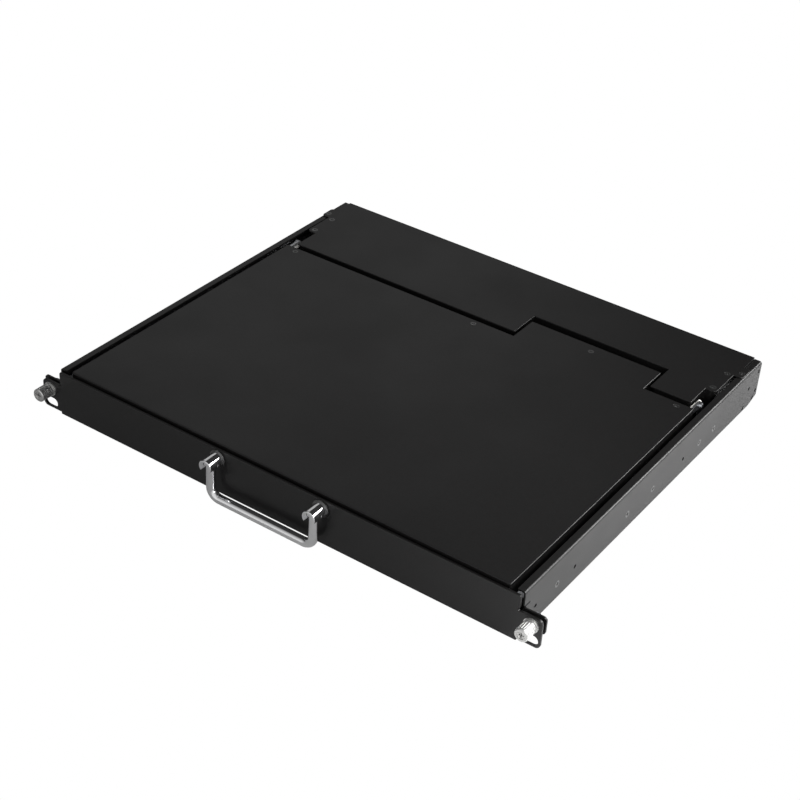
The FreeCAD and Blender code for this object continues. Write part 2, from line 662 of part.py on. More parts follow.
# ================================================================ fixed chassis
def side_wall(sign):
    """Folded C-shaped wall with the ear plate bent outward at its front end."""
    middle_x = WALL_X - WALL_T / 2.0
    top = WALL_TOP - WALL_T / 2.0
    bottom = WALL_BOTTOM + WALL_T / 2.0
    path = [(WALL_X - TOP_FLANGE, top), (middle_x, top), (middle_x, bottom),
            (WALL_X - BOTTOM_FLANGE, bottom)]
    length = CHASSIS_REAR - CHASSIS_FRONT
    wall = bent_sheet(path, WALL_T, on_xz(CHASSIS_FRONT), V(0, length, 0))
    wall = wall.cut(box(WALL_INNER_X - 1, WALL_X + 1, CHASSIS_FRONT - 1, EAR_PLATE_BEND_Y,
                        WALL_BOTTOM - 1, EAR_PLATE_TOP + WALL_RELIEF))
    flange_end = CHASSIS_FRONT + BOTTOM_FLANGE_SETBACK
    wall = wall.cut(box(WALL_X - BOTTOM_FLANGE - 1, WALL_X + 1, CHASSIS_FRONT - 1, flange_end,
                        WALL_BOTTOM - 1, FLOOR_BOTTOM + 1))
    ear_y = CHASSIS_FRONT + WALL_T / 2.0
    ear = bent_sheet([(middle_x, EAR_PLATE_BEND_Y + 1), (middle_x, ear_y),
                      (EAR_PLATE_SPAN / 2.0, ear_y)],
                     WALL_T, on_xy(EAR_PLATE_BOTTOM), V(0, 0, EAR_PLATE_TOP - EAR_PLATE_BOTTOM))
    tip = edges_at(ear, lambda b: b.XMin > EAR_PLATE_SPAN / 2.0 - 1e-3 and b.YLength > 1.0)
    ear = ear.makeFillet(EAR_PLATE_CORNER_R, tip)
    wall = wall.fuse(ear).removeSplitter()
    corner = Part.Face(Part.makePolygon([
        V(0, CHASSIS_REAR + 1, WALL_BOTTOM + REAR_CHAMFER_Z),
        V(0, CHASSIS_REAR, WALL_BOTTOM + REAR_CHAMFER_Z),
        V(0, CHASSIS_REAR - REAR_CHAMFER_Y, WALL_BOTTOM),
        V(0, CHASSIS_REAR - REAR_CHAMFER_Y, WALL_BOTTOM - 1),
        V(0, CHASSIS_REAR + 1, WALL_BOTTOM - 1),
        V(0, CHASSIS_REAR + 1, WALL_BOTTOM + REAR_CHAMFER_Z)]))
    wall = wall.cut(corner.extrude(V(WALL_X + 1, 0, 0)))
    cutters = []
    out = V(1, 0, 0)
    for y in WALL_HOLE_Y:
        cutters.append(rod(V(WALL_INNER_X - 1, y, SLIDE_Z), out, WALL_HOLE_R, WALL_T + 2))
    for y in SLIDE_SCREW_Y:
        cutters.append(flush_hole(V(WALL_X, y, SLIDE_Z), out, WALL_SCREW_HEAD_R + THREAD_PLAY,
                                  WALL_SCREW_HEAD_T, WALL_SCREW_R + THREAD_PLAY,
                                  WALL_T + 2))
    for y, z in REAR_HOLE_YZ:
        cutters.append(rod(V(WALL_INNER_X - 1, y, z), out, WALL_HOLE_R, WALL_T + 2))
    for y, z in REAR_DIMPLE_YZ:
        cutters.append(rod(V(WALL_X - DIMPLE_DEPTH, y, z), out, DIMPLE_R, 1.0))
    tab_x, tab_y = COVER_SCREW_XY[-1]
    cutters.append(rod(V(tab_x, tab_y, WALL_TOP - WALL_T - 1), V(0, 0, 1),
                       COVER_SCREW_R + THREAD_PLAY, WALL_T + 2))
    insert_x = RACK_HOLE_SPACING / 2.0
    cutters.append(rod(V(insert_x, CHASSIS_FRONT - 1, THUMB_Z), V(0, 1, 0), INSERT_R,
                       WALL_T + 2))
    return sided(wall.cut(cutters), sign)


def ear_insert(sign):
    """Threaded press nut in the ear plate, which takes the thumbscrew."""
    x = RACK_HOLE_SPACING / 2.0
    back = CHASSIS_FRONT + WALL_T
    front = CHASSIS_FRONT + SEAT_GAP
    body = rod(V(x, front, THUMB_Z), V(0, 1, 0), INSERT_R, INSERT_LENGTH)
    collar = rod(V(x, back, THUMB_Z), V(0, 1, 0), INSERT_COLLAR_R, front + INSERT_LENGTH - back)
    bore = rod(V(x, CHASSIS_FRONT - 1, THUMB_Z), V(0, 1, 0), SHANK_BORE_R, INSERT_LENGTH + 4)
    return sided(body.fuse(collar).cut(bore), sign)


def tie_bar():
    """Flat bar under the front of the walls that keeps them apart."""
    half = WALL_INNER_X - TIE_BAR_SIDE_GAP
    bottom = WALL_BOTTOM - TIE_BAR_T
    bar = box(-half, half, TIE_BAR_Y, TIE_BAR_Y + TIE_BAR_DEPTH, bottom, WALL_BOTTOM)
    holes = []
    for sign in (-1, 1):
        for y in TIE_RIVET_Y:
            holes.append(rod(V(sign * TIE_RIVET_X, y, bottom - 1), V(0, 0, 1), TIE_RIVET_R,
                             TIE_BAR_T + 2))
    return bar.cut(holes)


def housing_outline():
    """Middle line of the housing's folded frame, from the left rear to the right rear."""
    front = COVER_FRONT + HOUSING_SETBACK
    side = TRAY_X - HOUSING_SIDE_GAP - HOUSING_T / 2.0
    neck = COVER_NOTCH_X - HOUSING_SETBACK
    recess_rear = COVER_RECESS_REAR + HOUSING_SETBACK
    shoulder = COVER_NOTCH_REAR + SHOULDER_SETBACK
    rear = CHASSIS_REAR - HOUSING_REAR_GAP
    return [(-side, rear), (-side, shoulder), (-neck, shoulder), (-neck, front),
            (COVER_RECESS_LEFT - HOUSING_SETBACK, front),
            (COVER_RECESS_LEFT - HOUSING_SETBACK, recess_rear),
            (COVER_RECESS_RIGHT + HOUSING_SETBACK, recess_rear),
            (COVER_RECESS_RIGHT + HOUSING_SETBACK, front),
            (neck, front), (neck, shoulder), (side, shoulder), (side, rear)]


def housing_frame():
    """Stepped bulkhead and sides of the rear housing, folded from one strip."""
    height = WALL_TOP - FLOOR_TOP
    frame = bent_sheet(housing_outline(), HOUSING_T, on_xy(FLOOR_TOP), V(0, 0, height))
    side = TRAY_X - HOUSING_SIDE_GAP - HOUSING_T / 2.0
    for x, y in COVER_SCREW_XY[:-1]:
        for sign in (-1, 1):
            inner = sign * (x - HOUSING_TAB)
            outer = sign * side
            tab = box(min(inner, outer), max(inner, outer), y - HOUSING_TAB_HALF,
                      y + HOUSING_TAB_HALF, WALL_TOP - HOUSING_T, WALL_TOP)
            hole = rod(V(sign * x, y, WALL_TOP - 4), V(0, 0, 1), COVER_SCREW_R, 8)
            frame = frame.fuse(tab).cut(hole)
    window = box(CABLE_WINDOW_X - CABLE_WINDOW_W / 2.0, CABLE_WINDOW_X + CABLE_WINDOW_W / 2.0,
                 COVER_FRONT, COVER_FRONT + 6, CABLE_WINDOW_Z, CABLE_WINDOW_Z + CABLE_WINDOW_H)
    return frame.cut(window)


def housing_floor():
    """Vented plate that rests on the walls' lower flanges and carries the board."""
    floor = box(-FLOOR_X, FLOOR_X, COVER_FRONT + HOUSING_SETBACK - HOUSING_T,
                CHASSIS_REAR - HOUSING_T - COVER_REAR_GAP, FLOOR_BOTTOM, FLOOR_TOP)
    slots = []
    for i in range(VENT_COUNT):
        x = VENT_X + i * VENT_PITCH
        slots.append(box(x, x + VENT_W, VENT_Y, VENT_Y + VENT_LENGTH, FLOOR_BOTTOM - 1,
                         FLOOR_TOP + 1))
    return floor.cut(slots)


def cover_outline():
    """Outline of the stepped cover, from the right rear round its front to the left rear."""
    half = [(COVER_NOTCH_X, COVER_FRONT, COVER_CORNER_R), (COVER_NOTCH_X, COVER_NOTCH_REAR, 0),
            (COVER_SIDE_X, COVER_NOTCH_REAR, COVER_SHOULDER_R), (COVER_SIDE_X, COVER_TAB_FRONT, 0),
            (COVER_TAB_X, COVER_TAB_FRONT, COVER_TAB_R), (COVER_TAB_X, COVER_TAB_REAR, COVER_TAB_R),
            (COVER_REAR_X, COVER_TAB_REAR, 0), (COVER_REAR_X, COVER_REAR, 0)]
    left = [(-x, y, r) for x, y, r in half]
    recess = [(x, y, COVER_RECESS_R) for x, y in (
        (COVER_RECESS_RIGHT, COVER_FRONT), (COVER_RECESS_RIGHT, COVER_RECESS_REAR),
        (COVER_RECESS_LEFT, COVER_RECESS_REAR), (COVER_RECESS_LEFT, COVER_FRONT))]
    return half[::-1] + recess + left


def rear_cover():
    """Stepped lid of the rear housing, screwed to the frame and to both wall flanges."""
    plate = rounded_face(cover_outline(), on_xy(WALL_TOP)).extrude(V(0, 0, COVER_T))
    rims = edges_at(plate, lambda b: b.ZMin > COVER_TOP - 1e-3 and b.YMax < COVER_REAR - 1)
    plate = plate.makeFillet(EDGE_BREAK, rims)
    cutters = []
    for x, y in COVER_SCREW_XY:
        for sign in (-1, 1):
            cutters.append(flush_hole(V(sign * x, y, COVER_TOP), V(0, 0, 1),
                                      COVER_SCREW_HEAD_R + SCREW_PLAY, COVER_SCREW_HEAD_T,
                                      COVER_SCREW_R + SCREW_PLAY, COVER_T + 1))
    return plate.cut(cutters)


def cover_screws():
    up = V(0, 0, 1)
    return Part.makeCompound([
        flush_screw(V(sign * x, y, COVER_TOP), up, COVER_SCREW_HEAD_R, COVER_SCREW_HEAD_T,
                    COVER_SCREW_R - THREAD_PLAY, COVER_T + WALL_T)
        for x, y in COVER_SCREW_XY for sign in (-1, 1)])


def rear_panel():
    """Connector panel closing the back, with folded sides screwed to the walls."""
    side = WALL_INNER_X - HOUSING_T / 2.0
    back = CHASSIS_REAR - HOUSING_T / 2.0
    bottom = WALL_BOTTOM + REAR_CHAMFER_Z + REAR_PANEL_GAP
    height = WALL_TOP - bottom
    panel = bent_sheet([(-side, REAR_RETURN_Y), (-side, back), (side, back),
                        (side, REAR_RETURN_Y)], HOUSING_T, on_xy(bottom), V(0, 0, height))
    skirt = box(-TRAY_X, TRAY_X, CHASSIS_REAR - HOUSING_T, CHASSIS_REAR, FLOOR_BOTTOM, bottom)
    panel = panel.fuse(skirt)
    clear = FLANGE_X - FLANGE_SIDE_GAP
    flange_low = WALL_TOP - WALL_T - BEND_R - FLANGE_GAP
    cutters = [box(min(sign * clear, sign * WALL_X), max(sign * clear, sign * WALL_X),
                   REAR_RETURN_Y - 1, CHASSIS_REAR + 1, flange_low, WALL_TOP + 1)
               for sign in (-1, 1)]
    for x, z, width, height in PORT_CUTOUTS:
        cutters.append(box(x - width / 2.0, x + width / 2.0, CHASSIS_REAR - 3, CHASSIS_REAR + 1,
                           z, z + height))
    for y, z in REAR_HOLE_YZ:
        if y > REAR_RETURN_Y + 3:
            cutters.append(rod(V(-WALL_X, y, z), V(1, 0, 0), WALL_SCREW_R, 2 * WALL_X))
    return panel.cut(cutters).removeSplitter()


def wall_screws():
    """Countersunk screws that hold the slides' outer members to the walls."""
    screws = []
    for sign in (-1, 1):
        out = V(sign, 0, 0)
        for y in SLIDE_SCREW_Y:
            screws.append(flush_screw(V(sign * WALL_X, y, SLIDE_Z), out, WALL_SCREW_HEAD_R,
                                      WALL_SCREW_HEAD_T, WALL_SCREW_R - THREAD_PLAY,
                                      WALL_T + SLIDE_T - SCREW_PLAY))
    return Part.makeCompound(screws)


def tie_rivets():
    """Rivets that hold the tie bar to the walls' lower flanges."""
    rivets = []
    up = V(0, 0, 1)
    for sign in (-1, 1):
        for y in TIE_RIVET_Y:
            base = V(sign * TIE_RIVET_X, y, WALL_BOTTOM - TIE_BAR_T)
            head = rod(base, up * -1.0, TIE_RIVET_HEAD_R, TIE_RIVET_HEAD_T)
            rivets.append(head.fuse(rod(base, up, TIE_RIVET_R - THREAD_PLAY, TIE_BAR_T)))
    return Part.makeCompound(rivets)


def switch_board():
    """Circuit board behind the connectors, with its larger components."""
    board = box(BOARD_X0, BOARD_X1, BOARD_Y, CHASSIS_REAR - BOARD_REAR_GAP,
                PORT_Z - BOARD_T, PORT_Z)
    chips = [box(x, x + w, BOARD_Y + y, BOARD_Y + y + d, PORT_Z, PORT_Z + h)
             for x, y, w, d, h in BOARD_CHIPS]
    return board.fuse(chips).removeSplitter()


def board_standoffs():
    posts = []
    for x in (BOARD_X0 + STANDOFF_INSET, BOARD_X1 - STANDOFF_INSET):
        for y in (BOARD_Y + STANDOFF_INSET, CHASSIS_REAR - STANDOFF_REAR):
            posts.append(rod(V(x, y, FLOOR_TOP), V(0, 0, 1), STANDOFF_R, BOARD_STANDOFF))
    return Part.makeCompound(posts)


def shell_outline(wall, place):
    """D-shaped outline of the fifteen-pin shell, drawn in by wall."""
    low = PORT_Z + VIDEO_SHELL_MARGIN + wall
    high = PORT_Z + VIDEO_SIZE[1] - VIDEO_SHELL_MARGIN - wall
    narrow = VIDEO_SHELL_HALF - wall
    wide = narrow + VIDEO_SHELL_FLARE
    radius = VIDEO_SHELL_R - wall / 2.0
    return rounded_face([(VIDEO_X - narrow, low, radius), (VIDEO_X + narrow, low, radius),
                         (VIDEO_X + wide, high, radius), (VIDEO_X - wide, high, radius)], place)


def video_port():
    """Fifteen-pin connector: a D-shaped shell round its socket block."""
    w, h = VIDEO_SIZE
    face = CHASSIS_REAR - PORT_SETBACK
    out = V(0, 1, 0)
    port = box(VIDEO_X - w / 2.0, VIDEO_X + w / 2.0, face - VIDEO_DEPTH, face, PORT_Z, PORT_Z + h)
    port = port.fuse(shell_outline(0.0, on_xz(face)).extrude(out * VIDEO_SHELL_LENGTH))
    hollow = shell_outline(VIDEO_SHELL_WALL, on_xz(CHASSIS_REAR))
    port = port.cut(hollow.extrude(out * VIDEO_SHELL_LENGTH))
    nuts = [rod(V(VIDEO_X + side * VIDEO_NUT_X, face, PORT_Z + h / 2.0), out, VIDEO_NUT_R,
                VIDEO_NUT_LENGTH) for side in (-1, 1)]
    return port.fuse(nuts)


def usb_port():
    """Two stacked sockets, each with its tongue."""
    w, h = USB_SIZE
    left, right = USB_X - w / 2.0, USB_X + w / 2.0
    front = CHASSIS_REAR - USB_MOUTH_DEPTH
    body = box(left, right, CHASSIS_REAR - USB_DEPTH, CHASSIS_REAR + USB_STAND, PORT_Z,
               PORT_Z + h)
    for z in (PORT_Z + USB_LOWER_Z, PORT_Z + USB_UPPER_Z):
        body = body.cut(box(left + USB_WALL, right - USB_WALL, front,
                            CHASSIS_REAR + USB_STAND + 1, z, z + USB_MOUTH))
        body = body.fuse(box(left + TONGUE_INSET, right - TONGUE_INSET, front - 0.5,
                             CHASSIS_REAR - USB_STAND, z + TONGUE_Z, z + TONGUE_Z + TONGUE_T))
    return body


def power_inlet():
    """Low-voltage inlet, a block with a round blind socket."""
    w, h = INLET_SIZE
    body = box(INLET_X - w / 2.0, INLET_X + w / 2.0, CHASSIS_REAR - INLET_DEPTH,
               CHASSIS_REAR + INLET_STAND, PORT_Z, PORT_Z + h)
    socket = V(INLET_X, CHASSIS_REAR - INLET_BORE_DEPTH, PORT_Z + h / 2.0)
    return body.cut(rod(socket, V(0, 1, 0), INLET_BORE_R, INLET_DEPTH))


def rocker_span():
    """Lowest and highest point of the rocker's pocket."""
    return ROCKER_Z + ROCKER_RIM, ROCKER_Z + ROCKER_SIZE[1] - ROCKER_RIM


def rocker_frame():
    """Snap-in bezel of the power switch, bored for the rocker's trunnions."""
    w, h = ROCKER_SIZE
    half = w / 2.0
    body = box(ROCKER_X - half, ROCKER_X + half, CHASSIS_REAR - ROCKER_BODY_DEPTH, CHASSIS_REAR,
               ROCKER_Z, ROCKER_Z + h)
    rim = box(ROCKER_X - half - ROCKER_RIM, ROCKER_X + half + ROCKER_RIM, CHASSIS_REAR,
              CHASSIS_REAR + ROCKER_RIM_T, ROCKER_Z - ROCKER_RIM, ROCKER_Z + h + ROCKER_RIM)
    low, high = rocker_span()
    pocket = box(ROCKER_X - half + ROCKER_SIDE_WALL, ROCKER_X + half - ROCKER_SIDE_WALL,
                 CHASSIS_REAR - ROCKER_POCKET_DEPTH, CHASSIS_REAR + ROCKER_RIM_T + 1, low, high)
    reach = TRUNNION_LENGTH + THREAD_PLAY
    bore = rod(V(ROCKER_X, ROCKER_PIVOT_Y, low - reach), V(0, 0, 1), TRUNNION_R + THREAD_PLAY,
               high - low + 2 * reach)
    return body.fuse(rim).cut([pocket, bore])


def power_rocker():
    """Rocker paddle, off position down, turning on two trunnions in its frame."""
    half = ROCKER_SIZE[0] / 2.0 - ROCKER_SIDE_WALL - FIT_GAP
    dip = half * math.tan(math.radians(ROCKER_ANGLE))
    pocket_low, pocket_high = rocker_span()
    low, high = pocket_low + FIT_GAP, pocket_high - FIT_GAP
    face_y = CHASSIS_REAR + ROCKER_CROWN
    keel = half * 0.7
    lean = (face_y + dip - ROCKER_PIVOT_Y) * math.sin(math.radians(ROCKER_ANGLE))
    profile = rounded_face([(ROCKER_X - half + lean, face_y + dip, 0), (ROCKER_X, face_y, 0),
                            (ROCKER_X + half, face_y + 0.2, 0),
                            (ROCKER_X + keel, ROCKER_PIVOT_Y, 0),
                            (ROCKER_X, ROCKER_PIVOT_Y - ROCKER_KEEL, 0),
                            (ROCKER_X - keel, ROCKER_PIVOT_Y, 0)], on_xy(low))
    paddle = profile.extrude(V(0, 0, high - low))
    axle_low = pocket_low - TRUNNION_LENGTH
    axle = rod(V(ROCKER_X, ROCKER_PIVOT_Y, axle_low), V(0, 0, 1), TRUNNION_R,
               pocket_high + TRUNNION_LENGTH - axle_low)
    return paddle.fuse(axle)


# ================================================================ telescopic slides
def channel(u_web, u_lip, half_height, y0, length, opens_inward=True):
    """C-shaped slide member. u is measured from the wall's inner face towards the middle."""
    web = u_web + SLIDE_T / 2.0 if opens_inward else u_web - SLIDE_T / 2.0
    v = half_height - SLIDE_T / 2.0
    path = [(WALL_INNER_X - u_lip, SLIDE_Z + v), (WALL_INNER_X - web, SLIDE_Z + v),
            (WALL_INNER_X - web, SLIDE_Z - v), (WALL_INNER_X - u_lip, SLIDE_Z - v)]
    return bent_sheet(path, SLIDE_T, on_xz(y0), V(0, length, 0), bend=SLIDE_BEND_R)


def slide_outer(sign):
    member = channel(0.0, OUTER_LIP, SLIDE_HALF_HEIGHT, SLIDE_FRONT, OUTER_LENGTH)
    holes = [rod(V(WALL_INNER_X + 1, y, SLIDE_Z), V(-1, 0, 0), WALL_SCREW_R, SLIDE_T + 2)
             for y in SLIDE_SCREW_Y]
    return sided(member.cut(holes), sign)


def slide_middle(sign):
    front = SLIDE_FRONT + MIDDLE_SETBACK
    member = channel(MIDDLE_WEB, MIDDLE_WEB + MIDDLE_LIP, MIDDLE_HALF_HEIGHT, front,
                     MIDDLE_LENGTH)
    slots = []
    for y in (front + MIDDLE_SLOT_FRONT, front + MIDDLE_LENGTH - MIDDLE_SLOT_REAR):
        slots.append(box(WALL_INNER_X - MIDDLE_WEB - SLIDE_T - 1, WALL_INNER_X - MIDDLE_WEB + 1,
                         y, y + MIDDLE_SLOT_LENGTH, SLIDE_Z - MIDDLE_SLOT_HEIGHT / 2.0,
                         SLIDE_Z + MIDDLE_SLOT_HEIGHT / 2.0))
    return sided(member.cut(slots), sign)


def slide_inner(sign):
    member = channel(SLIDE_DEPTH, SLIDE_DEPTH - INNER_LIP, INNER_HALF_HEIGHT, SLIDE_FRONT,
                     INNER_LENGTH, opens_inward=False)
    holes = [rod(V(TRAY_X - 1, y, SLIDE_Z), V(1, 0, 0), TRAY_SCREW_R, SLIDE_T + 2)
             for y in TRAY_SCREW_Y]
    return sided(member.cut(holes), sign)


def ball_cage(sign, web_u, lip_u, row, ball_u, ball_r, y0):
    """Pressed retainer strip with its balls in two rows, above and below the web."""
    path = [(WALL_INNER_X - lip_u, SLIDE_Z + row), (WALL_INNER_X - web_u, SLIDE_Z + row),
            (WALL_INNER_X - web_u, SLIDE_Z - row), (WALL_INNER_X - lip_u, SLIDE_Z - row)]
    strip = bent_sheet(path, CAGE_T, on_xz(y0), V(0, CAGE_LENGTH, 0), bend=CAGE_BEND_R)
    pitch = CAGE_LENGTH / BALLS_PER_ROW
    balls = []
    pockets = []
    for i in range(BALLS_PER_ROW):
        for side in (-1, 1):
            centre = V(WALL_INNER_X - ball_u, y0 + (i + 0.5) * pitch, SLIDE_Z + side * row)
            balls.append(Part.makeSphere(ball_r, centre))
            pockets.append(rod(centre - V(0, 0, 1), V(0, 0, 1), ball_r + POCKET_GAP, 2))
    return sided(Part.makeCompound([strip.cut(pockets)] + balls), sign)


def outer_cage(sign):
    web_u = SLIDE_T + CAGE_GAP + CAGE_T / 2.0
    ball_u = (MIDDLE_WEB + MIDDLE_WEB + MIDDLE_LIP) / 2.0
    return ball_cage(sign, web_u, MIDDLE_WEB + MIDDLE_LIP - CAGE_LIP_GAP, OUTER_ROW, ball_u,
                     OUTER_BALL_R, OUTER_CAGE_Y)


def inner_cage(sign):
    web_u = MIDDLE_WEB + SLIDE_T + CAGE_GAP + CAGE_T / 2.0
    lip_u = SLIDE_DEPTH - SLIDE_T - CAGE_LIP_GAP
    return ball_cage(sign, web_u, lip_u, INNER_ROW, (web_u + SLIDE_DEPTH - SLIDE_T) / 2.0,
                     INNER_BALL_R, INNER_CAGE_Y)


# ================================================================ front panel and handle
def panel_outline():
    """Outline of the flat panel with its notched ears, anticlockwise from the lower left."""
    half = PANEL_WIDTH / 2.0
    ear = EAR_SPAN / 2.0
    right = [(half, 0, PANEL_FOOT_R), (half, EAR_BOTTOM, 0), (ear, EAR_BOTTOM, EAR_CORNER_R),
             (ear, EAR_TOP, EAR_CORNER_R), (half, EAR_TOP, 0),
             (half, PANEL_HEIGHT, PANEL_SHOULDER_R)]
    left = [(-x, z, r) for x, z, r in right[::-1]]
    return right + left


def front_panel():
    """Front panel: flat face with two rack ears and a lower lip folded back."""
    plate = rounded_face(panel_outline(), on_xz(0.0)).extrude(V(0, PANEL_T, 0))
    lip_x = PANEL_WIDTH / 2.0 - PANEL_LIP_INSET
    lip = box(-lip_x, lip_x, PANEL_T, PANEL_T + PANEL_LIP, 0, PANEL_LIP_T)
    rims = edges_at(plate, lambda b: b.YMax < 1e-3)
    plate = plate.makeFillet(EDGE_BREAK, rims)
    panel = plate.fuse(lip)
    cutters = []
    for sign in (-1, 1):
        x = sign * RACK_HOLE_SPACING / 2.0
        long, high = SLOT_LENGTH / 2.0, SLOT_HEIGHT / 2.0
        slot = rounded_face([(x + u * long, SLOT_Z + v * high, high - 0.01)
                             for u, v in ((-1, -1), (1, -1), (1, 1), (-1, 1))], on_xz(-1.0))
        cutters.append(slot.extrude(V(0, PANEL_T + 2, 0)))
        cutters.append(rod(V(x, -1, THUMB_Z), V(0, 1, 0), FERRULE_BARREL_R, PANEL_T + 2))
        cutters.append(rod(V(sign * PANEL_WIDTH / 2.0, -1, EAR_TOP + EAR_RELIEF_R * 0.6),
                           V(0, 1, 0), EAR_RELIEF_R, PANEL_T + 2))
        post_x = HANDLE_X + sign * HANDLE_SPACING / 2.0
        cutters.append(flush_hole(V(post_x, PANEL_T, HANDLE_Z), V(0, 1, 0),
                                  HANDLE_SCREW_HEAD_R + SCREW_PLAY, HANDLE_SCREW_HEAD_T,
                                  HANDLE_SCREW_R + SCREW_PLAY, PANEL_T + 2))
    return panel.cut(cutters).removeSplitter()


def post_positions():
    return [V(HANDLE_X + sign * HANDLE_SPACING / 2.0, 0, HANDLE_Z) for sign in (-1, 1)]


def handle_posts():
    """Round forked posts: each holds one end of the bail between two cheeks."""
    posts = []
    slot_half = BAIL_R + BAIL_SIDE_GAP
    for foot in post_positions():
        face = foot - V(0, BASE_WASHER_T, 0)
        post = rod(face, V(0, -1, 0), POST_R, POST_LENGTH)
        rim = [e for e in post.Edges if abs(e.BoundBox.YMax - face.y + POST_LENGTH) < 1e-3
               and e.BoundBox.YLength < 1e-3]
        post = post.makeFillet(POST_EDGE_R, rim)
        slot = box(foot.x - slot_half, foot.x + slot_half, face.y - POST_LENGTH - 1,
                   face.y - POST_BACK, foot.z - POST_R - 1, foot.z + slot_half)
        pin = rod(foot + V(-POST_R - 1, PIVOT_Y, 0), V(1, 0, 0), PIVOT_PIN_R, 2 * POST_R + 2)
        thread = rod(foot, V(0, -1, 0), HANDLE_SCREW_R + THREAD_PLAY,
                     BASE_WASHER_T + POST_BACK)
        posts.append(post.cut([slot, pin, thread]))
    return Part.makeCompound(posts)


def base_washers():
    washers = []
    for foot in post_positions():
        ring = rod(foot, V(0, -1, 0), BASE_WASHER_R, BASE_WASHER_T)
        washers.append(ring.cut(rod(foot + V(0, 1, 0), V(0, -1, 0),
                                    HANDLE_SCREW_R + SCREW_PLAY, BASE_WASHER_T + 2)))
    return Part.makeCompound(washers)


def handle_screws():
    """Countersunk screws from behind the panel into the posts."""
    out = V(0, 1, 0)
    length = PANEL_T + BASE_WASHER_T + POST_BACK - HANDLE_SCREW_GAP
    return Part.makeCompound([
        flush_hole(foot + V(0, PANEL_T, 0), out, HANDLE_SCREW_HEAD_R, HANDLE_SCREW_HEAD_T,
                   HANDLE_SCREW_R, length) for foot in post_positions()])


def pivot_pins():
    half = math.sqrt(POST_R ** 2 - PIVOT_PIN_R ** 2)
    return Part.makeCompound([
        rod(foot + V(-half, PIVOT_Y, 0), V(1, 0, 0), PIVOT_PIN_R, 2 * half)
        for foot in post_positions()])


def bail_handle():
    """Round bar bent to a U, with a bored eye at each end, hanging from the posts."""
    left, right = post_positions()
    corner = BAIL_CORNER_R
    low = HANDLE_Z - BAIL_DROP
    chord = corner * (1.0 - math.sqrt(0.5))
    points = {
        "left_top": V(left.x, PIVOT_Y, HANDLE_Z), "left_low": V(left.x, PIVOT_Y, low + corner),
        "left_mid": V(left.x + chord, PIVOT_Y, low + chord),
        "bar_left": V(left.x + corner, PIVOT_Y, low),
        "bar_right": V(right.x - corner, PIVOT_Y, low),
        "right_mid": V(right.x - chord, PIVOT_Y, low + chord),
        "right_low": V(right.x, PIVOT_Y, low + corner),
        "right_top": V(right.x, PIVOT_Y, HANDLE_Z)}
    p = points
    path = Part.Wire([
        Part.LineSegment(p["left_top"], p["left_low"]).toShape(),
        Part.Arc(p["left_low"], p["left_mid"], p["bar_left"]).toShape(),
        Part.LineSegment(p["bar_left"], p["bar_right"]).toShape(),
        Part.Arc(p["bar_right"], p["right_mid"], p["right_low"]).toShape(),
        Part.LineSegment(p["right_low"], p["right_top"]).toShape()])
    profile = Part.Wire(Part.makeCircle(BAIL_R, p["left_top"], V(0, 0, -1)))
    bar = path.makePipeShell([profile], True, False)
    cutters = []
    for foot in (left, right):
        centre = foot + V(0, PIVOT_Y, 0)
        bar = bar.fuse(rod(centre + V(-BAIL_R, 0, 0), V(1, 0, 0), BAIL_R, 2 * BAIL_R))
        cutters.append(rod(centre + V(-BAIL_R - 1, 0, 0), V(1, 0, 0), PIVOT_PIN_R + PIVOT_PIN_PLAY,
                           2 * BAIL_R + 2))
    return bar.cut(cutters)


def ferrule(sign):
    """Pressed bush that keeps the thumbscrew in the ear."""
    foot = V(RACK_HOLE_SPACING / 2.0, 0, THUMB_Z)
    flange = rod(foot, V(0, -1, 0), FERRULE_R, FERRULE_T)
    barrel = rod(foot, V(0, 1, 0), FERRULE_BARREL_R, PANEL_T)
    bore = rod(foot - V(0, FERRULE_T + 1, 0), V(0, 1, 0), SHANK_BORE_R,
               FERRULE_T + PANEL_T + 2)
    return sided(flange.fuse(barrel).cut(bore), sign)


def knob_washer(sign):
    """Loose washer under the knob, which travels with the screw."""
    foot = V(RACK_HOLE_SPACING / 2.0, -FERRULE_T - KNOB_LIFT, THUMB_Z)
    ring = rod(foot, V(0, -1, 0), WASHER_R, WASHER_T)
    bore = rod(foot + V(0, 1, 0), V(0, -1, 0), SHANK_BORE_R, WASHER_T + 2)
    return sided(ring.cut(bore), sign)


def thumbscrew(sign):
    """Ribbed knob with a cross recess on a threaded shank."""
    base_y = -FERRULE_T - WASHER_T - 2 * KNOB_LIFT
    foot = V(RACK_HOLE_SPACING / 2.0, base_y, THUMB_Z)
    out = V(0, -1, 0)
    knob = rod(foot, out, KNOB_R, KNOB_LENGTH)
    ends = [e for e in knob.Edges if e.BoundBox.YLength < 1e-3]
    knob = knob.makeChamfer(KNOB_CHAMFER, ends)
    grooves = []
    for i in range(KNOB_RIBS):
        angle = 2.0 * math.pi * i / KNOB_RIBS
        spot = foot + V(KNOB_R * math.cos(angle), -KNOB_RIB_INSET, KNOB_R * math.sin(angle))
        grooves.append(rod(spot, out, KNOB_RIB_R, KNOB_LENGTH - 2 * KNOB_RIB_INSET))
    floor = foot + out * (KNOB_LENGTH - KNOB_FACE_DEPTH)
    recess = rod(floor, out, KNOB_R - KNOB_FACE_RIM, KNOB_FACE_DEPTH + 1)
    knob = knob.cut(grooves + [recess, cross_recess(floor, out, KNOB_CROSS, KNOB_CROSS_DEPTH)])
    shank = rod(foot, V(0, 1, 0), SHANK_R, SHANK_TIP_Y - base_y)
    tip = [e for e in shank.Edges if abs(e.BoundBox.YMin - SHANK_TIP_Y) < 1e-3]
    shank = shank.makeChamfer(SHANK_CHAMFER, tip)
    return sided(knob.fuse(shank), sign)


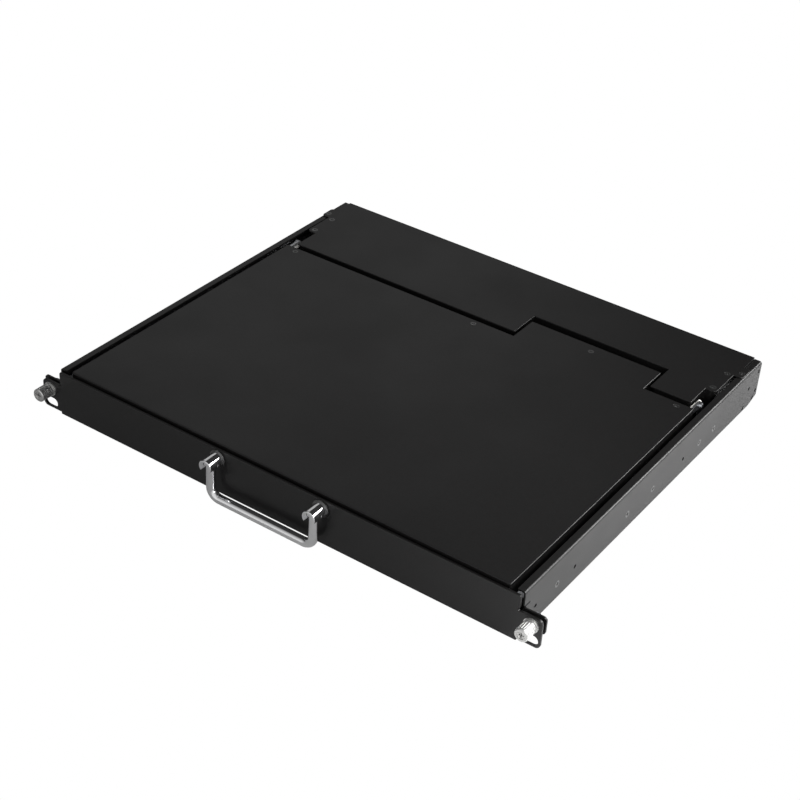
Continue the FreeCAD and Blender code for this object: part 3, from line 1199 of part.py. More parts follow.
# ================================================================ tray, deck and keyboard
def wiring_windows(wall_front):
    """Cutters for the two windows that lead the wiring through a rear wall."""
    half = WINDOW_WIDTH / 2.0
    return [box(x - half, x + half, wall_front - 1, wall_front + TRAY_T + DECK_T, WINDOW_Z,
                WINDOW_Z + WINDOW_HEIGHT) for x in (-WINDOW_X, WINDOW_X)]


def tray():
    """Folded tray that carries everything that slides, with two arms for the hinges."""
    middle = TRAY_X - TRAY_T / 2.0
    low = TRAY_BOTTOM + TRAY_T / 2.0
    shell = bent_sheet([(-middle, TRAY_TOP), (-middle, low), (middle, low), (middle, TRAY_TOP)],
                       TRAY_T, on_xz(PANEL_T), V(0, TRAY_ARM_REAR - PANEL_T, 0))
    shell = shell.cut(box(-TRAY_X - 1, TRAY_X + 1, TRAY_REAR, TRAY_ARM_REAR + 1, 0,
                          TRAY_ARM_BOTTOM))
    inner = TRAY_X - TRAY_T
    front_y = PANEL_T + TRAY_T / 2.0
    front = bent_sheet([(front_y, low), (front_y, TRAY_TOP - TRAY_T / 2.0),
                        (front_y + TRAY_FRONT_LIP, TRAY_TOP - TRAY_T / 2.0)],
                       TRAY_T, on_yz(-inner), V(2 * inner, 0, 0))
    rear = box(-inner, inner, TRAY_REAR - TRAY_T, TRAY_REAR, TRAY_FLOOR, TRAY_TOP)
    relief = box(LID_TAIL_LEFT - TAIL_SIDE_GAP, LID_TAIL_RIGHT + TAIL_SIDE_GAP,
                 TRAY_REAR - TRAY_T - 1, TRAY_REAR + 1, RELIEF_BOTTOM, TRAY_TOP + 1)
    body = shell.fuse([front, rear]).cut([relief] + wiring_windows(TRAY_REAR - TRAY_T))
    studs = []
    for x in (STUD_INSET_X - KEYBOARD_X, 0.0, KEYBOARD_X - STUD_INSET_X):
        for y in (KEYBOARD_Y + STUD_INSET_FRONT, KEYBOARD_Y + KEYBOARD_DEPTH - STUD_INSET_REAR):
            studs.append(rod(V(x, y, TRAY_FLOOR), V(0, 0, 1), STUD_R,
                             KEYBOARD_BOTTOM - TRAY_FLOOR))
    body = body.fuse(studs)
    holes = []
    for sign in (-1, 1):
        for y in TRAY_SCREW_Y:
            holes.append(rod(V(sign * (TRAY_X - 3), y, SLIDE_Z), V(sign, 0, 0), TRAY_SCREW_R, 5))
        for y, z in HINGE_RIVET_YZ:
            holes.append(rod(V(sign * (TRAY_X - 3), y, z), V(sign, 0, 0), HINGE_RIVET_R, 5))
        holes.append(rod(V(sign * CABLE_X, TRAY_REAR - 5, CABLE_EXIT_Z), V(0, 1, 0),
                         CABLE_R + SEAT_GAP, 10))
    return body.cut(holes).removeSplitter()


def tray_screws():
    screws = []
    for sign in (-1, 1):
        for y in TRAY_SCREW_Y:
            seat = V(sign * (TRAY_X - TRAY_T), y, SLIDE_Z)
            screws.append(pan_screw(seat, V(-sign, 0, 0), TRAY_SCREW_HEAD_R,
                                    TRAY_SCREW_HEAD_T, TRAY_SCREW_R - THREAD_PLAY,
                                    TRAY_T + SLIDE_T))
    return Part.makeCompound(screws)


def deck_opening():
    return (-KEYBOARD_X, KEYBOARD_X, KEYBOARD_Y - KEYBOARD_MARGIN,
            KEYBOARD_Y - KEYBOARD_MARGIN + KEYBOARD_DEPTH)


def keyboard_deck():
    """Cover plate over the tray, with openings for the keyboard, touchpad and its buttons."""
    front = DECK_FRONT + DECK_T / 2.0
    rear = DECK_REAR - DECK_T / 2.0
    deck = bent_sheet([(front, TRAY_FLOOR), (front, DECK_TOP - DECK_T / 2.0),
                       (rear, DECK_TOP - DECK_T / 2.0), (rear, TRAY_FLOOR)],
                      DECK_T, on_yz(-DECK_X), V(2 * DECK_X, 0, 0))
    x0, x1, y0, y1 = deck_opening()
    under, over = DECK_TOP - DECK_T - 1, DECK_TOP + 1
    cutters = [box(x0, x1, y0, y1, under, over),
               box(-TOUCHPAD_WIDTH / 2.0, TOUCHPAD_WIDTH / 2.0, TOUCHPAD_Y,
                   TOUCHPAD_Y + TOUCHPAD_DEPTH, under, over)]
    cutters += wiring_windows(DECK_REAR - DECK_T)
    for sign in (-1, 1):
        inner, outer = sign * PAD_BUTTON_SPLIT, sign * TOUCHPAD_WIDTH / 2.0
        cutters.append(box(min(inner, outer), max(inner, outer), PAD_BUTTON_Y,
                           PAD_BUTTON_Y + PAD_BUTTON_DEPTH, under, over))
    return deck.cut(cutters)


def keyboard_base():
    """Moulded body of the keyboard module, with wells for the space bar's stems."""
    x0, x1, y0, y1 = deck_opening()
    gap = FIT_GAP
    base = box(x0 + gap, x1 - gap, y0 + gap, y1 - gap, KEYBOARD_BOTTOM, KEYBOARD_TOP)
    uprights = edges_at(base, lambda b: b.ZLength > 1.0)
    base = base.makeFillet(KEYBOARD_CORNER_R, uprights)
    wells = [box(x - KEY_STEM / 2.0 - FIT_GAP, x + KEY_STEM / 2.0 + FIT_GAP,
                 y - KEY_STEM / 2.0 - FIT_GAP, y + KEY_STEM / 2.0 + FIT_GAP,
                 KEYBOARD_TOP - SPACE_BAR_TRAVEL - WELL_FLOOR, KEYBOARD_TOP + 1)
             for x, y in space_bar_stems()]
    return base.cut(wells)


def keycap(x, y, columns, depth=KEY_PITCH, stem_length=None):
    """Tapered cap on one stem, filling a place that is some columns wide."""
    w = columns * KEY_PITCH - KEY_GAP
    d = depth - KEY_GAP
    x0, y0 = x + KEY_GAP / 2.0, y + KEY_GAP / 2.0
    low = Part.makePolygon([V(x0, y0, KEY_BOTTOM), V(x0 + w, y0, KEY_BOTTOM),
                            V(x0 + w, y0 + d, KEY_BOTTOM), V(x0, y0 + d, KEY_BOTTOM),
                            V(x0, y0, KEY_BOTTOM)])
    t = KEY_TAPER
    high = Part.makePolygon([V(x0 + t, y0 + t, KEY_TOP), V(x0 + w - t, y0 + t, KEY_TOP),
                             V(x0 + w - t, y0 + d - t * 0.6, KEY_TOP),
                             V(x0 + t, y0 + d - t * 0.6, KEY_TOP), V(x0 + t, y0 + t, KEY_TOP)])
    return Part.makeLoft([low, high], True, True)


def key_stem(x, y, bottom):
    half = KEY_STEM / 2.0
    return box(x - half, x + half, y - half, y + half, bottom, KEY_BOTTOM)


def key_rows():
    """Widths of the keys in each row, front row first, in columns of the main block."""
    bottom_left = [1.25, 1.25, 1.25]
    bottom_right = [1.25, 1.25, 1.25, 1.5]
    return [bottom_left + [None] + bottom_right,
            [2.25] + [1.0] * 10 + [1.75, 1.0],
            [1.75] + [1.0] * 11 + [2.25],
            [1.5] + [1.0] * 12 + [1.5],
            [1.0] * 13 + [2.0],
            [1.0] * 15]


def space_bar_place():
    start = -KEY_BLOCK / 2.0 + 3.75 * KEY_PITCH
    return start, KEYBOARD_Y


def space_bar_stems():
    x, y = space_bar_place()
    width = SPACE_BAR_COLUMNS * KEY_PITCH
    return [(x + width * share, y + KEY_PITCH / 2.0) for share in (0.2, 0.8)]


def keycaps():
    caps = []
    for row, widths in enumerate(key_rows()):
        x = -KEY_BLOCK / 2.0
        y = KEYBOARD_Y + row * KEY_PITCH
        for width in widths:
            if width is None:
                x += SPACE_BAR_COLUMNS * KEY_PITCH
                continue
            stem = key_stem(x + width * KEY_PITCH / 2.0, y + KEY_PITCH / 2.0, KEYBOARD_TOP)
            caps.append(keycap(x, y, width).fuse(stem))
            x += width * KEY_PITCH
    pad_x = -KEY_BLOCK / 2.0 + MAIN_COLUMNS * KEY_PITCH + PAD_SPACING
    for row in range(KEY_ROWS):
        for column in range(PAD_COLUMNS):
            x = pad_x + column * KEY_PITCH
            y = KEYBOARD_Y + row * KEY_PITCH
            stem = key_stem(x + KEY_PITCH / 2.0, y + KEY_PITCH / 2.0, KEYBOARD_TOP)
            caps.append(keycap(x, y, 1.0).fuse(stem))
    return Part.makeCompound(caps)


def space_bar():
    x, y = space_bar_place()
    bar = keycap(x, y, SPACE_BAR_COLUMNS)
    for stem_x, stem_y in space_bar_stems():
        bar = bar.fuse(key_stem(stem_x, stem_y, KEYBOARD_TOP - SPACE_BAR_SEAT))
    return bar


def touchpad():
    gap = FIT_GAP
    half = TOUCHPAD_WIDTH / 2.0
    rear = TOUCHPAD_Y + TOUCHPAD_DEPTH
    under = DECK_TOP - DECK_T
    top = box(-half + gap, half - gap, TOUCHPAD_Y + gap, rear - gap, under,
              DECK_TOP + TOUCHPAD_STAND)
    flange = box(-half - TOUCHPAD_FLANGE, half + TOUCHPAD_FLANGE, TOUCHPAD_Y - TOUCHPAD_FLANGE_T,
                 rear + TOUCHPAD_FLANGE, under - TOUCHPAD_FLANGE_T, under)
    return top.fuse(flange)


def pad_button(sign):
    """Button held up under the deck by its flange, with room to be pressed."""
    gap = FIT_GAP
    under = DECK_TOP - DECK_T - SEAT_GAP
    inner, outer = PAD_BUTTON_SPLIT + gap, TOUCHPAD_WIDTH / 2.0
    rear = PAD_BUTTON_Y + PAD_BUTTON_DEPTH
    cap = box(inner, outer - gap, PAD_BUTTON_Y + gap, rear - gap, under - PAD_BUTTON_T,
              DECK_TOP + PAD_BUTTON_STAND)
    rims = edges_at(cap, lambda b: b.ZMin > DECK_TOP)
    cap = cap.makeFillet(PAD_BUTTON_EDGE_R, rims)
    flange = box(inner, outer + PAD_BUTTON_FLANGE, PAD_BUTTON_Y - PAD_BUTTON_FLANGE,
                 rear + PAD_BUTTON_REAR_FLANGE, under - PAD_BUTTON_T, under)
    return sided(cap.fuse(flange).removeSplitter(), sign)


def lid_bumpers():
    top = LID_BOTTOM - SEAT_GAP
    y = PANEL_T + TRAY_T + TRAY_FRONT_LIP / 2.0
    return Part.makeCompound([rod(V(sign * BUMPER_X, y, TRAY_TOP), V(0, 0, 1), BUMPER_R,
                                  top - TRAY_TOP) for sign in (-1, 1)])


# ================================================================ lid hinges
def hinge_base(sign):
    """Joggled bracket riveted inside the tray's arm, ending in the fixed knuckle."""
    half = BASE_ARM_T / 2.0
    foot_low = TRAY_ARM_BOTTOM + BASE_FOOT_GAP
    foot_x, top_x = BASE_FOOT_X - half, BASE_KNUCKLE_X + half
    bend_z = TRAY_TOP + BASE_JOGGLE_RISE
    front, rear = HINGE_Y - BASE_FOOT_HALF, HINGE_Y + BASE_FOOT_HALF
    strip = bent_sheet([(foot_x, foot_low), (foot_x, bend_z), (top_x, bend_z + BASE_JOGGLE),
                        (top_x, HINGE_Z + KNUCKLE_R)],
                       BASE_ARM_T, on_xz(front), V(0, rear - front, 0), bend=BASE_BEND_R)
    neck = HINGE_Z - BASE_NECK
    shoulder = TRAY_TOP - BASE_SHOULDER_R
    inside, wide = BASE_FOOT_X - CUTTER_REACH, 2 * CUTTER_REACH
    side = rounded_face([(front, foot_low, BASE_TOE_R), (rear, foot_low, BASE_TOE_R),
                         (rear, shoulder, BASE_SHOULDER_R), (HINGE_Y + KNUCKLE_R, neck, 0),
                         (HINGE_Y + KNUCKLE_R, HINGE_Z, 0), (HINGE_Y - KNUCKLE_R, HINGE_Z, 0),
                         (HINGE_Y - KNUCKLE_R, neck, 0), (front, shoulder, BASE_SHOULDER_R)],
                        on_yz(inside)).extrude(V(wide, 0, 0))
    axis_point = V(inside, HINGE_Y, HINGE_Z)
    side = side.fuse(rod(axis_point, V(1, 0, 0), KNUCKLE_R, wide))
    cutters = [rod(axis_point, V(1, 0, 0), HINGE_PIN_R, wide)]
    for y, z in HINGE_RIVET_YZ:
        cutters.append(rod(V(inside, y, z), V(1, 0, 0), HINGE_RIVET_R, wide))
    return sided(strip.common(side).cut(cutters).removeSplitter(), sign)


def hinge_leaf(sign):
    """Moving half of the hinge: knuckle, arm and the plate screwed under the lid's top."""
    inner = LEAF_X - LEAF_ARM_T
    top = LID_TOP - LID_T
    front = LID_REAR - LEAF_LENGTH
    axis_point = V(inner, HINGE_Y, HINGE_Z)
    knuckle = rod(axis_point, V(1, 0, 0), KNUCKLE_R, LEAF_ARM_T)
    arm_face = rounded_face([(HINGE_Y, HINGE_Z - KNUCKLE_R, 0), (HINGE_Y, HINGE_Z + KNUCKLE_R, 0),
                             (front, top, 0), (front, top - LEAF_TOE, LEAF_TOE_R)], on_yz(inner))
    arm = arm_face.extrude(V(LEAF_ARM_T, 0, 0))
    plate = box(LEAF_X - LEAF_WIDTH, LEAF_X, front, LID_REAR - LID_T - FIT_GAP, top - LEAF_T, top)
    screw_x, screw_y = LID_SCREW_XY[-1]
    bores = [rod(axis_point - V(1, 0, 0), V(1, 0, 0), HINGE_PIN_R + HINGE_PIN_PLAY,
                 LEAF_ARM_T + 2),
             rod(V(screw_x, screw_y, top - LEAF_T - 1), V(0, 0, 1), LID_SCREW_R, LEAF_T + 2)]
    return sided(knuckle.fuse([arm, plate]).cut(bores).removeSplitter(), sign)


def hinge_pin(sign):
    """Pin riveted in the fixed knuckle, with its head outboard."""
    inner = LEAF_X - LEAF_ARM_T
    outer = BASE_KNUCKLE_X + BASE_ARM_T
    pin = rod(V(inner, HINGE_Y, HINGE_Z), V(1, 0, 0), HINGE_PIN_R, outer - inner)
    head = rod(V(outer, HINGE_Y, HINGE_Z), V(1, 0, 0), HINGE_PIN_HEAD_R, HINGE_PIN_HEAD_T)
    return sided(pin.fuse(head), sign)


def hinge_rivets():
    rivets = []
    for sign in (-1, 1):
        for y, z in HINGE_RIVET_YZ:
            seat = V(sign * (BASE_FOOT_X - BASE_ARM_T), y, z)
            head = rod(seat, V(-sign, 0, 0), HINGE_RIVET_HEAD_R, HINGE_RIVET_HEAD_T)
            body = rod(seat, V(sign, 0, 0), HINGE_RIVET_R - THREAD_PLAY, BASE_ARM_T + TRAY_T)
            rivets.append(head.fuse(body))
    return Part.makeCompound(rivets)


# ================================================================ screen lid
def lid_outline(inset, radius):
    """Stepped outline of the lid, drawn in by inset."""
    x = LID_X - inset
    front, rear = LID_FRONT + inset, LID_REAR - inset
    tail = LID_TAIL_REAR - inset
    left, right = LID_TAIL_LEFT + inset, LID_TAIL_RIGHT - inset
    return [(-x, front, radius), (x, front, radius), (x, rear, radius), (right, rear, 0),
            (right, tail, radius), (left, tail, radius), (left, rear, 0), (-x, rear, radius)]


def lid_shell():
    """Folded steel back of the screen, open underneath."""
    bottom = LID_BOTTOM + BEZEL_T
    outside = rounded_face(lid_outline(0.0, LID_CORNER_R), on_xy(bottom)).extrude(
        V(0, 0, LID_TOP - bottom))
    rims = edges_at(outside, lambda b: b.ZMin > LID_TOP - 1e-3)
    outside = outside.makeFillet(LID_EDGE_R, rims)
    inside = rounded_face(lid_outline(LID_T, 0.0), on_xy(bottom - 1)).extrude(
        V(0, 0, LID_TOP - LID_T - bottom + 1))
    cutters = [inside]
    up = V(0, 0, 1)
    for x, y in LID_SCREW_XY:
        cutters.append(flush_hole(V(x, y, LID_TOP), up, LID_SCREW_HEAD_R + SCREW_PLAY,
                                  LID_SCREW_HEAD_T, LID_SCREW_R + SCREW_PLAY, LID_T + 1))
    inner_top = LID_TOP - LID_T
    for sign in (-1, 1):
        cutters.append(sided(box(LEAF_X - LID_NOTCH, LEAF_X, LID_REAR - LID_T - 1,
                                 LID_REAR + 1, inner_top - LID_NOTCH_HEIGHT, inner_top), sign))
    return outside.cut(cutters)


def lid_screws():
    up = V(0, 0, 1)
    return Part.makeCompound([
        flush_screw(V(x, y, LID_TOP), up, LID_SCREW_HEAD_R, LID_SCREW_HEAD_T,
                    LID_SCREW_R - THREAD_PLAY, LID_T + LEAF_T) for x, y in LID_SCREW_XY])


def screen_rect(grow):
    half = SCREEN_WIDTH / 2.0 + grow
    return -half, half, SCREEN_FRONT - grow, SCREEN_FRONT + SCREEN_DEPTH + grow


def lcd_bezel():
    """Front frame of the screen, facing the keys when the lid is shut."""
    plate = rounded_face(lid_outline(BEZEL_INSET, BEZEL_CORNER_R), on_xy(LID_BOTTOM)).extrude(
        V(0, 0, BEZEL_T))
    x0, x1, y0, y1 = screen_rect(0.0)
    cutters = [box(x0, x1, y0, y1, LID_BOTTOM - 1, LID_BOTTOM + BEZEL_T + 1)]
    for i in range(len(OSD_NAMES)):
        cutters.append(rod(osd_place(i) - V(0, 0, 2), V(0, 0, 1), OSD_BUTTON_R + FIT_GAP,
                           BEZEL_T + 4))
    return plate.cut(cutters)


def osd_place(i):
    return V(OSD_BUTTON_X + i * OSD_BUTTON_PITCH, OSD_BUTTON_Y, LID_BOTTOM)


def osd_button(i):
    """Push button that stands a little proud of the bezel, kept in by its flange."""
    foot = osd_place(i)
    up = V(0, 0, 1)
    cap = rod(foot - up * OSD_BUTTON_STAND, up, OSD_BUTTON_R,
              OSD_BUTTON_STAND + BEZEL_T + SEAT_GAP)
    flange = rod(foot + up * (BEZEL_T + SEAT_GAP), up, OSD_BUTTON_R + OSD_FLANGE, OSD_FLANGE_T)
    return cap.fuse(flange)


def lcd_panel():
    x0, x1, y0, y1 = screen_rect(SCREEN_RIM)
    bottom = LID_BOTTOM + BEZEL_T
    return box(x0, x1, y0, y1, bottom, bottom + SCREEN_T)


def driver_board():
    """Screen electronics in the lid's tail, on spacers under the top."""
    top = LID_TOP - LID_T
    under = top - SPACER_HEIGHT
    low = under - DRIVER_BOARD_T
    x0, x1 = LID_TAIL_LEFT + DRIVER_MARGIN, LID_TAIL_RIGHT - DRIVER_MARGIN
    y0 = SCREEN_FRONT + SCREEN_DEPTH + SCREEN_RIM + DRIVER_REAR_GAP
    y1 = LID_TAIL_REAR - DRIVER_REAR_GAP
    board = box(x0, x1, y0, y1, low, under)
    spacers = [rod(V(x, y, under), V(0, 0, 1), SPACER_R, SPACER_HEIGHT)
               for x in (x0 + DRIVER_MARGIN, x1 - DRIVER_MARGIN)
               for y in (y0 + DRIVER_MARGIN, y1 - DRIVER_MARGIN)]
    chip = box(x0 + CHIP_INSET, x0 + CHIP_INSET + CHIP_SIZE, y0 + CHIP_SIZE, y0 + 2 * CHIP_SIZE,
               low - CHIP_T, low)
    plug_rear = y1 - DRIVER_REAR_GAP
    plug = box(x0 + PLUG_INSET, x0 + PLUG_INSET + PLUG_WIDTH, plug_rear - PLUG_DEPTH, plug_rear,
               low - PLUG_T, low)
    screw_x, screw_y = LID_SCREW_XY[2]
    boss = rod(V(screw_x, screw_y, under), V(0, 0, 1), BOSS_R, SPACER_HEIGHT)
    hole = rod(V(screw_x, screw_y, under), V(0, 0, 1), LID_SCREW_R, SPACER_HEIGHT + 1)
    return board.fuse(spacers + [chip, plug, boss]).cut(hole).removeSplitter()


def cable_run(points):
    """Round tube along straight runs joined by tangent arcs."""
    edges = []
    last = points[0]
    for i in range(1, len(points) - 1):
        here = points[i]
        back = points[i - 1] - here
        ahead = points[i + 1] - here
        reach = 0.45 * min(back.Length, ahead.Length)
        back.normalize()
        ahead.normalize()
        half = back.getAngle(ahead) / 2.0
        radius = reach * math.tan(half)
        middle = back + ahead
        middle.normalize()
        bulge = here + middle * (radius / math.sin(half) - radius)
        start, end = here + back * reach, here + ahead * reach
        edges.append(Part.LineSegment(last, start).toShape())
        edges.append(Part.Arc(start, bulge, end).toShape())
        last = end
    edges.append(Part.LineSegment(last, points[-1]).toShape())
    profile = Part.Wire(Part.makeCircle(CABLE_R, points[0], points[1] - points[0]))
    return Part.Wire(edges).makePipeShell([profile], True, False)


def lid_cable(sign):
    """Lid half of the screen lead: from inside the lid back to the hinge line."""
    points = [V(CABLE_X, LID_REAR - 14, HINGE_Z - 1.4), V(CABLE_X, LID_REAR - 1, HINGE_Z - 0.2),
              V(CABLE_X, HINGE_Y - 7, HINGE_Z + 0.8), V(CABLE_X, HINGE_Y, HINGE_Z)]
    end = Part.makeSphere(CABLE_R, points[-1])
    return sided(cable_run(points).fuse(end), sign)


def tray_cable(sign):
    """Tray half of the screen lead: from the hinge line down and into the tray's rear."""
    points = [V(CABLE_X, HINGE_Y + 2.4, HINGE_Z), V(CABLE_X, HINGE_Y + 9, HINGE_Z - 1.0),
              V(CABLE_X, HINGE_Y + 10, CABLE_EXIT_Z), V(CABLE_X, TRAY_REAR - 8, CABLE_EXIT_Z)]
    return sided(cable_run(points), sign)


# ================================================================ write every sub-part
def pair(make):
    """Left and right copies of one piece as a single group of separate solids."""
    return Part.makeCompound([solid for _, sign in SIDES for solid in make(sign).Solids])


def main():
    os.makedirs("parts", exist_ok=True)
    for side, sign in SIDES:
        save(side + "_side_wall", side_wall(sign))
        save(side + "_slide_outer", slide_outer(sign))
        save(side + "_slide_middle", slide_middle(sign))
        save(side + "_slide_inner", slide_inner(sign))
        save(side + "_hinge_base", hinge_base(sign))
        save(side + "_hinge_leaf", hinge_leaf(sign))
        save(side + "_thumbscrew", thumbscrew(sign))
        save(side + "_knob_washer", knob_washer(sign))
        save(side + "_pad_button", pad_button(sign))
    save("outer_ball_cages", pair(outer_cage))
    save("inner_ball_cages", pair(inner_cage))
    save("ear_inserts", pair(ear_insert))
    save("thumbscrew_ferrules", pair(ferrule))
    save("hinge_pins", pair(hinge_pin))
    save("lid_cables", pair(lid_cable))
    save("tray_cables", pair(tray_cable))
    save("tie_bar", tie_bar())
    save("tie_bar_rivets", tie_rivets())
    save("housing_frame", housing_frame())
    save("housing_floor", housing_floor())
    save("rear_cover", rear_cover())
    save("rear_cover_screws", cover_screws())
    save("rear_panel", rear_panel())
    save("wall_screws", wall_screws())
    save("switch_board", Part.makeCompound([switch_board(), board_standoffs()]))
    save("rear_ports", Part.makeCompound([video_port(), usb_port(), power_inlet(),
                                          rocker_frame()]))
    save("power_rocker", power_rocker())
    save("front_panel", front_panel())
    save("handle_posts", handle_posts())
    save("handle_base_washers", base_washers())
    save("handle_screws", handle_screws())
    save("handle_pivot_pins", pivot_pins())
    save("bail_handle", bail_handle())
    save("tray", tray())
    save("tray_screws", tray_screws())
    save("keyboard_deck", keyboard_deck())
    save("keyboard_base", keyboard_base())
    save("keycaps", keycaps())
    save("space_bar", space_bar())
    save("touchpad", touchpad())
    save("lid_bumpers", lid_bumpers())
    save("lid_shell", lid_shell())
    save("lid_screws", lid_screws())
    save("lcd_bezel", lcd_bezel())
    save("lcd_panel", lcd_panel())
    save("lcd_driver_board", driver_board())
    save("hinge_rivets", hinge_rivets())
    for i, name in enumerate(OSD_NAMES):
        save("osd_" + name + "_button", osd_button(i))


main()
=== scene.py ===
import json
import math

import bmesh
import bpy
from mathutils import Matrix, Vector


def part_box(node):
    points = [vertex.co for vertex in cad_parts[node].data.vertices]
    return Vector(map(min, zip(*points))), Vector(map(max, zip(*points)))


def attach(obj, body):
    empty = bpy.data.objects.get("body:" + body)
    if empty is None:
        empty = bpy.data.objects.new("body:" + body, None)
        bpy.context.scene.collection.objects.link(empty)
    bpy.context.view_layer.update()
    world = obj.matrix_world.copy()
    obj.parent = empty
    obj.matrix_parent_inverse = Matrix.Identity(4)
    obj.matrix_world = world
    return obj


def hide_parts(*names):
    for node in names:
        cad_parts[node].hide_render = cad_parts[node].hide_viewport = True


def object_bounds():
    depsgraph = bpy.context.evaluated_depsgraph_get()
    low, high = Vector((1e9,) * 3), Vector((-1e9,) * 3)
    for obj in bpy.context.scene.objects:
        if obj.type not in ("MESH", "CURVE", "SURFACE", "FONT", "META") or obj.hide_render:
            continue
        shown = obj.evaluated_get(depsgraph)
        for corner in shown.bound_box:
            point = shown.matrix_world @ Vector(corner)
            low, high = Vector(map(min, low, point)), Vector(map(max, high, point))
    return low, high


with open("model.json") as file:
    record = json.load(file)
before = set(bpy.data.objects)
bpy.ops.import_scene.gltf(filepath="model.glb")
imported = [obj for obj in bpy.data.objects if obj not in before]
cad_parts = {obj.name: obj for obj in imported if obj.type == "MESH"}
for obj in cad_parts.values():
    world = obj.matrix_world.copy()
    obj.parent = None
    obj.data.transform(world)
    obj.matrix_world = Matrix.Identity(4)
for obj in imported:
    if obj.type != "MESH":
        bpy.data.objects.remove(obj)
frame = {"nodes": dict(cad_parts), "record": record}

# Looks, bail bar and studio of a rackmount LCD console drawer. Metres, degrees and watts.
# X runs to the right, Y into the rack and Z up.

CAD_BOX = [list(corner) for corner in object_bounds()]
NODES = frame["nodes"]

# camera: aimed at a point on the lid, turned about its own axis by ROLL
AIM = Vector((0.0183, 0.1404, 0.0362))
AZIMUTH = 32.89
ELEVATION = 33.93
ROLL = 3.91
DISTANCE = 1.3697
LENS = 76.2                     # millimetres
SENSOR_WIDTH = 36.0             # millimetres

# surroundings, as the part and its reflections see them: pale in front, dark behind
FRONT = (0.30, -0.95, 0.0)      # towards the pale side
ROOM_FRONT = 0.75
ROOM_REAR = 0.03
FADE_START = 0.0                # a ray that points this far towards FRONT still sees the dark
FADE_END = 0.7                  # and from here on it sees the full pale
WHITE = (1.0, 1.0, 1.0, 1.0)

FLOOR_REACH = 6.0
FLOOR_DROP = 0.004              # gap between the floor and the part's lowest point
FLOOR_PALE = (0.80, 0.80, 0.80, 1.0)

LAMPS = {
    "rear_left": dict(place=(-1.4, 1.7, 1.3), target=(0.0, 0.2, 0.0),
                      width=1.8, height=1.2, power=2.8),
    "right_rear": dict(place=(1.25, 1.75, 1.0), target=(0.1, 0.2, 0.0),
                       width=0.9, height=0.7, power=24.0),
    "right_strip": dict(place=(0.56, 0.22, 0.22), target=(0.56, 0.22, 0.0),
                        width=0.42, height=0.9, power=5.0),
}

# bevel on the sheets whose sharp edges catch the light
SOFT_SHEETS = ("rear_cover", "left_side_wall", "right_side_wall")
EDGE_WIDTH = 0.0004
EDGE_SEGMENTS = 2
EDGE_ANGLE = 35.0

# bail bar
BAIL_RISE = 0.0042              # the real bar hangs this much higher than the solid's
BAIL_BEND = 0.009               # bend radius along the middle of the bar
ARC_STEPS = 10
BAR_SIDES = 28
EYE_SIDES = 36
SMOOTH_ANGLE = 40.0
ALONG_Y = Vector((0.0, 1.0, 0.0))

# noise shared by all materials: fine for colour and bump, broad for roughness
NOISE_LOW = 0.3                 # the noise seldom leaves this range
NOISE_HIGH = 0.7
FINE_DETAIL = 3.0
FINE_ROUGHNESS = 0.6
BROAD_GRAIN = 14.0
BROAD_DETAIL = 2.0
BROAD_ROUGHNESS = 0.5
BUMP_DEPTH = 0.00005
EVEN = (1.0, 1.0, 1.0)
BRUSHED = (1.0, 0.06, 1.0)      # grain drawn out along Y

